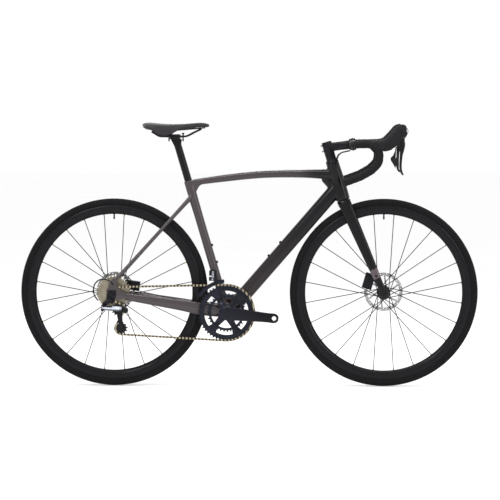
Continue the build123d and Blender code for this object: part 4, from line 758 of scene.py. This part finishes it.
# ------------------------------------------------------------------ wheels
for pre, x, body, mr in (("front", 488.6, "front_wheel", m_rim), ("rear", -488.6, "rear_wheel", m_rim_r)):
    prof = []
    for k in range(0, 33):
        a = math.radians(-126 + 252 * k / 32)
        r, y = 326 + 13.95 * math.cos(a), 13.95 * math.sin(a)
        if abs(math.degrees(a)) < 34:
            r -= 0.25 * (1 if k % 2 else 0)
        if abs(y) < 14 and 96 < abs(math.degrees(a)) < 104:
            r -= 0.0
        prof.append((r, y))
    prof += [(314.5, 9.3), (310.6, 9.2), (310.6, 6.6), (315.5, 6.4)]
    for k in range(0, 13):
        a = math.radians(118 - 236 * k / 12)
        prof.append((326 + 11.4 * math.cos(a), 11.4 * math.sin(a)))
    prof += [(315.5, -6.4), (310.6, -6.6), (310.6, -9.2), (314.5, -9.3)]
    ty = lathe(pre + "_tyre_casing", prof, x * MM, seg=360)
    piece(ty, body, m_tyre, pre + "_tyre", slot="tyre_rubber")
    half = [(316.0, 9.4), (316.0, 10.9), (315.6, 11.4), (308, 12.2), (303, 12.15), (298, 11.4), (293, 9.5), (288.5, 6.9), (285.5, 4.2), (284.0, 2.0), (283.4, 0.0)]
    bed = [(310.1, -9.4), (310.1, -5), (307.2, -4.2), (307.2, 4.2), (310.1, 5), (310.1, 9.4)]
    prof = half + [(r, -y) for r, y in reversed(half[:-1])] + bed
    rm = lathe(pre + "_rim_hoop", prof, x * MM, seg=300)
    auto_smooth(rm, 50)
    piece(rm, body, mr, pre + "_rim", slot="rim_black")
    # valve stem and cap
    va = [cylinder("v", (x, 0, 340 + 284.0 - 6), (x, 0, 340 + 284.5), 2.5, 20), cylinder("v", (x, 0, 340 + 284 - 19), (x, 0, 340 + 284 - 5.5), 3.0, 16, bevel=0.8), cylinder("v", (x, 0, 340 + 284 - 1.6), (x, 0, 340 + 284.4), 4.4, 6, bevel=0.3)]
    vo = join(pre + "_valve", va)
    auto_smooth(vo)
    piece(vo, body, m_alloy, slot="black_alloy")
    fl, fr = (21.0, -33.0) if pre == "front" else (32.0, -17.5)
    sp, nip, rims = [], [], []
    for i in range(24):
        a = math.radians(7.5 + 15.0 * i)
        side = fl if i % 2 else fr
        lean = 1 if (i // 2) % 2 else -1
        bb = a + lean * math.radians(60)
        y0 = side + (1.0 if (i // 2) % 2 else -1.0)
        p0 = Vector((x + 21.0 * math.cos(bb), y0, 340 + 21.0 * math.sin(bb)))
        ya = 0.25 * (1 if side > 0 else -1)
        p1 = Vector((x + 274.3 * math.cos(a), ya, 340 + 274.3 * math.sin(a)))
        p2 = Vector((x + 284.6 * math.cos(a), 0, 340 + 284.6 * math.sin(a)))
        n = 9
        pts = [(p0 + (p1 - p0) * (k / (n - 1))) * MM for k in range(n)]
        wd = [1.3, 1.3, 1.3, 1.3, 1.3, 1.3, 1.3, 1.3, 1.3]
        tang = Vector((-math.sin(a), 0, math.cos(a)))
        sp.append(sweep("s", pts, lambda i_, t, ang, wd=wd: (wd[i_] * MM * math.cos(ang) * 0.92, wd[i_] * MM * math.sin(ang) * 1.1), 8))
        e = (p0 - Vector((x, y0, 340))).normalized()
        sp.append(cylinder("s", p0 + Vector((0, -2.2 if y0 < side else 2.2, 0)) * 0.0 + Vector((0, 1.6 * (1 if y0 > side else -1), 0)), p0 - Vector((0, 1.6 * (1 if y0 > side else -1), 0)), 1.15, 10))
        d = (p2 - p1).normalized()
        nip.append(cylinder("n", p1, p1 + d * 8.6, 1.75, 8, bevel=0.35))
        rims.append(cylinder("w", p2 - d * 1.9, p2 + d * 0.3, 3.0, 20, bevel=0.4))
    so = join(pre + "_spoke_set", sp)
    piece(so, body, m_spoke, pre + "_spokes", slot="spoke_steel")
    no = join(pre + "_nipples", nip)
    auto_smooth(no, 30)
    piece(no, body, m_brass, slot="spoke_steel")
    wo = join(pre + "_nipple_washers", rims)
    auto_smooth(wo, 30)
    piece(wo, body, mr, slot="rim_black")

# ------------------------------------------------------------------ saddle: padded cover over the shell
SADP = [(-383, 941.5, 27, 6.5), (-378, 943, 50, 9.5), (-366, 943.5, 66, 11), (-345, 940.8, 72.5, 11.6), (-318, 938.2, 72, 11.4), (-290, 937.6, 63, 10.6), (-262, 938.3, 49, 9.8), (-235, 940.2, 36, 9.2), (-205, 943.2, 27, 9.2), (-175, 945.4, 22, 9), (-155, 944.6, 18.5, 8), (-145, 943, 12.5, 5.5), (-142.2, 942, 6, 2.6)]
per = 5
spts = [p * MM for p in catmull([Vector((a[0], 0, a[1])) for a in SADP], per)]
sab = lerp_list([(a[2], a[3]) for a in SADP], per)
COLS = 64


def sad_sec(i, t, ang):
    w, h = max(sab[i].x, 1) * MM, max(sab[i].y, 1) * MM
    c, s = math.cos(ang), math.sin(ang)
    k = (abs(c) ** 2.5 + abs(s) ** 2.5) ** (-1 / 2.5)
    x, y = w * c * k, h * s * k
    u = abs(x) / w
    if s < 0:
        y *= 0.72 if u < 0.82 else 1.0
        y -= h * 0.55 * max(0, u - 0.35) ** 1.5
    else:
        y -= h * 0.42 * u ** 3
    # the flanks fold down over the shell in the middle of the saddle
    fold = 0.5 + 0.5 * math.cos(math.pi * min(1.0, abs(spts[i].x + 0.303) / 0.062))
    k = min(1.0, max(0.0, (u - 0.66) / 0.34))
    y -= (0.0245 * fold + 0.003) * k * k * (3 - 2 * k)
    return x, y


sad = sweep("saddle_cover_soft", spts, sad_sec, COLS, (0, 1, 0))
low_c, high_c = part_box("saddle_cover")
m = sad.modifiers.new("r", "REMESH")
m.mode = "VOXEL"
m.voxel_size = 0.0034
bake(sad)
rest_co = [v.co.copy() for v in sad.data.vertices]
cl = sad.modifiers.new("c", "CLOTH")
cl.settings.use_pressure = True
cl.settings.uniform_pressure_force = 3.0
cl.settings.effector_weights.gravity = 0
cl.settings.mass = 0.3
cl.settings.tension_stiffness = 30
cl.settings.compression_stiffness = 30
cl.settings.bending_stiffness = 8
S.frame_start, S.frame_end = 1, 14
for f in range(1, 13):
    S.frame_set(f)
bake(sad)
for v, r in zip(sad.data.vertices, rest_co):
    d = v.co - r
    if d.length > 0.0016:
        v.co = r + d.normalized() * 0.0016
S.frame_set(1)
sm = sad.modifiers.new("s", "SMOOTH")
sm.iterations = 3
ss = sad.modifiers.new("ss", "SUBSURF")
ss.levels = ss.render_levels = 1
bake(sad)
for v in sad.data.vertices:
    x, y, z = v.co
    # centre relief channel
    half = 0.0
    u = (x + 0.350) / 0.18
    if 0 < u < 1:
        w = 0.0085 * math.sin(math.pi * u) ** 0.5 + 0.001
        if abs(y) < w * 1.6 and z > 0.938:
            k = max(0, 1 - (abs(y) / (w * 1.6)) ** 2)
            v.co.z -= 0.0032 * k * math.sin(math.pi * u) ** 0.6
    v.co.z = min(v.co.z, high_c[2] + 0.004)
sad.data.polygons.foreach_set("use_smooth", [True] * len(sad.data.polygons))
piece(sad, "seatpost_and_saddle", m_saddle, "saddle_cover", slot="saddle_cover")
# base shell under the padding
SH = [(-371, 934, 50, 3.2), (-350, 930.5, 62, 3.4), (-325, 927.5, 61, 3.2), (-295, 926.5, 49, 3), (-265, 927.4, 37, 2.8), (-235, 929.4, 27, 2.6), (-205, 931.8, 20, 2.5), (-178, 934.0, 16, 2.4), (-158, 935.6, 11, 2)]
sh = oval_tube("saddle_base", [((x, 0, z), a, b) for x, z, a, b in SH], per=4, cols=48, power=3.0)
piece(sh, "seatpost_and_saddle", m_plastic, "saddle_shell", slot="black_plastic")

# ------------------------------------------------------------------ bar tape with its wrap
TOPX, TOPZ = 376.0, 876.6


def bar_path(s):
    h = 210.0 * s
    ctl = [(TOPX, 0, TOPZ), (TOPX, h * 0.45, TOPZ), (378, h * 0.8, TOPZ + 0.6), (394, h * 0.985, TOPZ + 2), (438, h, 879), (470, h, 848), (466, h, 812), (440, h, 786), (402, h, 764.5), (347, h, 744.2)]
    rad = [220, 55, 28, 24, 26, 34, 60, 120]
    out = [Vector(ctl[0])]
    for i in range(1, len(ctl) - 1):
        a, b, c = Vector(ctl[i - 1]), Vector(ctl[i]), Vector(ctl[i + 1])
        u, v = (a - b).normalized(), (c - b).normalized()
        ang = u.angle(v)
        t = rad[i - 1] / math.tan(ang / 2)
        n = (u + v).normalized()
        ctr = b + n * (rad[i - 1] / math.sin(ang / 2))
        p0, p1 = b + u * t, b + v * t
        for k in range(9):
            q = p0.lerp(p1, k / 8) - ctr
            out.append(ctr + q.normalized() * rad[i - 1])
    out.append(Vector(ctl[-1]))
    # even spacing
    res, acc, step = [out[0]], 0.0, 1.6
    for i in range(1, len(out)):
        a, b = out[i - 1], out[i]
        L = (b - a).length
        d = step - acc
        while d <= L and L > 0:
            res.append(a.lerp(b, d / L))
            d += step
        acc = (L - (d - step)) if L else acc
    return [p * MM for p in res]


tape_objs = []
for s in (1, -1):
    pts = bar_path(s)
    start = next(i for i, p in enumerate(pts) if abs(p.y) > 0.063)
    pts = pts[start:]
    pitch = 0.0205
    tot = len(pts) * 0.0016

    def tsec(i, t, ang, s=s):
        ph = (t / pitch + s * ang / (2 * math.pi)) % 1.0
        lift = 0.00085 * (1 - ph) ** 1.2
        edge = 0.0004 if ph < 0.06 else 0.0
        r = 0.01325 + lift - edge
        r += 0.0002 * noise.noise(Vector((t * 240, ang * 2, s * 3.0)))
        if t < 0.006:
            r = min(r, 0.0131 + t * 0.1)
        return r * math.cos(ang), r * math.sin(ang)

    tp = sweep("tape", pts, tsec, 40, (0, 0, 1) if False else (0.3, 0.2, 1), cap=False)
    tape_objs.append(tp)
    # finishing band at the inner end, and the end plug
    tape_objs.append(cylinder("band", (TOPX, s * 61.0, TOPZ), (TOPX, s * 70, TOPZ + 0.1), 13.9, 48, bevel=0.3))
    e = Vector((347, s * 210, 744.2))
    d = (e - Vector((402, s * 210, 764.5))).normalized()
    tape_objs.append(cylinder("plug", e - d * 0.5, e + d * 3.2, 13.9, 48, bevel=1.2))
tp = join("bar_tape_wrap", tape_objs)
auto_smooth(tp, 46)
piece(tp, "steering", m_tape, "bar_tape", slot="bar_tape")

# ------------------------------------------------------------------ hoods, levers, paddles
HOODC = [((433, 880.5), 12.5, 14.5), ((452, 877), 16.5, 16.0), ((478, 874.5), 20.5, 16.4), ((500, 880), 22.5, 16.4), ((520, 896), 24.0, 16.0), ((534, 913), 23.0, 15.3), ((545, 930), 20.5, 14.2), ((551.5, 941), 14.0, 11.5), ((554.5, 948), 6.0, 6.5)]
for s in (1, -1):
    y = 212.0 * s
    st = [(Vector((x, y + s * (1.2 if i > 3 else 0), z)), b, a) for i, ((x, z), a, b) in enumerate(HOODC)]
    pts = [p * MM for p in catmull([q[0] for q in st], 7)]
    ab = lerp_list([(q[1], q[2]) for q in st], 7)

    def hsec(i, t, ang):
        c, s_ = math.cos(ang), math.sin(ang)
        k = (abs(c) ** 2.5 + abs(s_) ** 2.5) ** (-1 / 2.5)
        return ab[i].x * MM * c * k, ab[i].y * MM * s_ * k

    h = sweep("hood", pts, hsec, 48, (0, 1, 0))
    remesh(h, 0.0014, 4, 0.5)
    # room for the lever and its block, open at the front and underneath
    slot_o = plate("slot", [(600, 924.5), (546, 924.5), (542, 906), (524, 876), (512, 862), (512, 835), (600, 835)], y - (13.2 if s > 0 else 8.6), y + (8.6 if s > 0 else 13.2), 0)
    fix_normals(slot_o)
    bm_ = h.modifiers.new("b", "BOOLEAN")
    bm_.operation = "DIFFERENCE"
    bm_.solver = "EXACT"
    bm_.object = slot_o
    bake(h)
    dd = slot_o.data
    bpy.data.objects.remove(slot_o)
    bpy.data.meshes.remove(dd)
    # grip ridges moulded in the outer face
    for v in h.data.vertices:
        p = v.co
        if 0.452 < p.x < 0.515 and abs(p.y) - 0.212 > 0.010:
            v.co.y += (0.00035 if s > 0 else -0.00035) * (1 if math.sin((p.x + p.z * 0.55) * 1650) > 0.2 else 0)
    auto_smooth(h, 48)
    h.name = ("left" if s > 0 else "right") + "_hood"
    piece(h, "steering", m_hood, slot="hood_rubber")
    if s > 0:
        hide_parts("brake_hoods")
    # pale trim plate on the front of the lever body
    side = "left" if s > 0 else "right"
    tr = oval_tube(side + "_lever_trim", [(Vector((565.0, y, 936)), 4.0, 1.4), (Vector((568.3, y, 926)), 6.5, 1.7), (Vector((566.5, y, 917)), 6.0, 1.5), (Vector((562.5, y, 908)), 3.5, 1.2)], per=6, cols=24)
    piece(tr, side + "_lever_block", m_badge, slot="silver_alloy")
    bd = oval_tube(side + "_lever_cap", [(Vector((553, y, 926)), 7.0, 7), (Vector((556, y, 918)), 8.0, 9.5), (Vector((553.5, y, 908)), 7.6, 8.0), (Vector((552, y, 903)), 6.5, 6.2)], per=6, cols=32, power=2.8)
    piece(bd, side + "_lever_block", m_alloy, side + "_lever_pivot", slot="black_alloy")
    # brake blade: broad at the top, hooked tip
    BL = [((551.5, 902), 5.4, 6.3), ((549.3, 893), 5.6, 7.2), ((549.6, 878), 5.8, 8.6), ((547.2, 860), 5.6, 7.6), ((544.6, 842), 5.4, 5.4), ((542.6, 818), 5.3, 4.6), ((542.2, 798), 5.2, 4.3), ((544.6, 783), 5.0, 4.2), ((549.0, 774.5), 4.4, 3.4), ((551.8, 771.6), 2.6, 2.0)]
    bl = oval_tube(side + "_brake_blade", [(Vector((x, y + s * 0.10 * max(0.0, 900 - z) ** 0.5, z)), b, a) for (x, z), b, a in BL], per=8, cols=32, power=2.6)
    piece(bl, side + "_lever", m_alloy, side + "_brake_lever", slot="black_alloy")
    PD = [(540.0, 864.5), (536.0, 864.5), (533.2, 848), (526.5, 832), (519.5, 826), (517.2, 820.5), (518.6, 813.5), (527.5, 799.5), (534.6, 786), (536.0, 785), (536.5, 800), (536.4, 826), (537.6, 847)]
    yo = (0 if s > 0 else 3.5)
    pd = plate(side + "_paddle", PD, y - 5.0 + yo, y + 1.6 + yo, 1.3)
    piece(pd, side + "_paddle", m_plastic, side + "_shift_paddle", slot="black_plastic")

# ------------------------------------------------------------------ cranks: forged shapes
ca = math.radians(-6.1)
CD = Vector((math.cos(ca), 0, math.sin(ca)))
for side, dirn, y0, y1 in (("right", CD, -59.2, -72.9), ("left", -CD, 58.2, 71.9)):
    yc = (y0 + y1) / 2
    hw = abs(y1 - y0) / 2
    st = []
    for t, w, h in [(-22, 9, 4.5), (-14, 20, 5.4), (0, 24.5, hw), (22, 24, hw), (50, 22.5, hw), (90, 20.0, hw - 0.2), (130, 18.0, hw - 0.5), (156, 17.4, hw - 0.8), (172.5, 18.0, hw - 0.9), (183, 14.5, hw - 1.4), (189.5, 7, 3.5)]:
        st.append((BBp + dirn * t + Vector((0, yc, 0)), h, w))
    ar = oval_tube(side + "_crank_forging", st, per=7, cols=44, power=3.4)
    e = BBp + dirn * 172.5
    remesh(ar, 0.0014, 4)
    bore(ar, (e.x, yc - 30, e.z), (e.x, yc + 30, e.z), 7.14, 48)
    bore(ar, (e.x, y1 + (-30 if y1 < 0 else 30), e.z), (e.x, y1 - (-1.0 if y1 < 0 else 1.0), e.z), 10.6, 48)
    bore(ar, (-79, y1 + (-30 if y1 < 0 else 30), 269), (-79, y1 - (-1.6 if y1 < 0 else 1.6), 269), 11.5, 48)
    auto_smooth(ar, 45)
    piece(ar, "crankset", m_crank, slot="black_alloy")
    if side == "left":
        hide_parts("crank_arm_left")
        right_done = True
    cp = cylinder(side + "_axle_cap", (-79, y1 - (-1.7 if y1 < 0 else 1.7), 269), (-79, y1 - (-0.2 if y1 < 0 else 0.2), 269), 10.9, 48, bevel=0.5)
    bore(cp, (-79, y1 - 4, 269), (-79, y1 + 4, 269), 5.0, 8)
    auto_smooth(cp)
    piece(cp, "crankset", m_plastic, slot="black_plastic")
    inr = cylinder(side + "_pedal_insert", (e.x, y0 + (0.6 if y0 > 0 else -0.6), e.z), (e.x, y1 - (-1.0 if y1 < 0 else 1.0), e.z), 9.2, 48, bevel=0.2)
    bore(inr, (e.x, yc - 30, e.z), (e.x, yc + 30, e.z), 7.15, 48)
    auto_smooth(inr)
    piece(inr, "crankset", m_steel, slot="silver_steel")
# spindle and spider stand in the CAD node's place
sp = [cylinder("x", (-79, -60, 269), (-79, 58.5, 269), 12.0, 48)]
for a in (55, 125, 235, 305):
    t = math.radians(-6.1 + a)
    d = Vector((math.cos(t), 0, math.sin(t)))
    pts = [(BBp + d * r + Vector((0, y, 0)), h, w) for r, y, h, w in [(12, -54, 5, 15), (28, -53.2, 5, 13), (44, -49.4, 3.4, 11.2), (54, -47.2, 3.0, 10), (58, -47, 2.4, 7)]]
    sp.append(oval_tube("x", pts, per=6, cols=32, power=3.0))
sp.append(cylinder("x", (-79, -59.5, 269), (-79, -48, 269), 27, 64, bevel=1.5))
spo = join("crank_spider", sp)
auto_smooth(spo, 50)
piece(spo, "crankset", m_crank, "crankset_right", slot="black_alloy")
# outer face of the big ring: four broad arms that carry on the line of the crank spider
arms = []
for a in (55, 125, 235, 305):
    t0 = -6.1 + a
    out = []
    for k in range(0, 13):
        b = math.radians(t0 - 17 + 34 * k / 12)
        out.append((-79 + 91.5 * math.cos(b), 269 + 91.5 * math.sin(b)))
    for r, w in [(80, 12.5), (70, 10.5), (60.5, 9.2)]:
        b = math.radians(t0 + math.degrees(w / r))
        out.append((-79 + r * math.cos(b), 269 + r * math.sin(b)))
    for r, w in [(60.5, 9.2), (70, 10.5), (80, 12.5)]:
        b = math.radians(t0 - math.degrees(w / r))
        out.append((-79 + r * math.cos(b), 269 + r * math.sin(b)))
    arms.append(plate("a", out, -52.6, -48.2, 1.1))
ao = join("chainring_arms", arms)
auto_smooth(ao, 50)
piece(ao, "crankset", m_crank, slot="black_alloy")

# ------------------------------------------------------------------ cast housings: the CAD shapes with softened edges
def softened(node, name, body, m, slot, size=0.0011, smooth=7):
    o = bpy.data.objects.new(name, N[node].data.copy())
    S.collection.objects.link(o)
    remesh(o, size, smooth, 0.5)
    auto_smooth(o, 50)
    piece(o, body, m, node, slot=slot)
    return o


softened("front_brake_caliper", "front_caliper_cast", "steering", m_alloy, "black_alloy", 0.0011, 12)
softened("rear_brake_caliper", "rear_caliper_cast", "frame", m_alloy, "black_alloy", 0.0011, 12)
softened("rear_derailleur_b_knuckle", "b_knuckle_cast", "derailleur_base", m_alloy, "black_alloy", 0.0008, 6)
softened("rear_derailleur_p_knuckle", "p_knuckle_cast", "derailleur_knuckle", m_alloy, "black_alloy", 0.0008, 6)
softened("rear_derailleur_link", "outer_link_cast", "derailleur_link", m_rd, "silver_alloy", 0.0007, 8)
softened("front_derailleur_body", "front_changer_cast", "frame", m_alloy, "black_alloy", 0.0008, 5)
softened("stem", "stem_forging", "steering", m_alloy, "black_alloy", 0.0010, 6)

# ------------------------------------------------------------------ floor
fl = new_obj("floor", [(-30, -30, -0.0004), (30, -30, -0.0004), (30, 30, -0.0004), (-30, 30, -0.0004)], [(0, 1, 2, 3)], False)
fm, nt, b, co = base_mat("floor_pale")
n = noise_node(nt, co, 2.0, 2)
r = ramp(nt, n.outputs["Fac"], [(0.0, (0.84, 0.84, 0.84)), (1.0, (0.87, 0.87, 0.87))])
b.inputs["Emission Color"].default_value = (1, 1, 1, 1)
b.inputs["Emission Strength"].default_value = 0.12
nt.links.new(r.outputs[0], b.inputs["Base Color"])
b.inputs["Roughness"].default_value = 0.9
b.inputs["Specular IOR Level"].default_value = 0.1
set_mat(fl, fm)
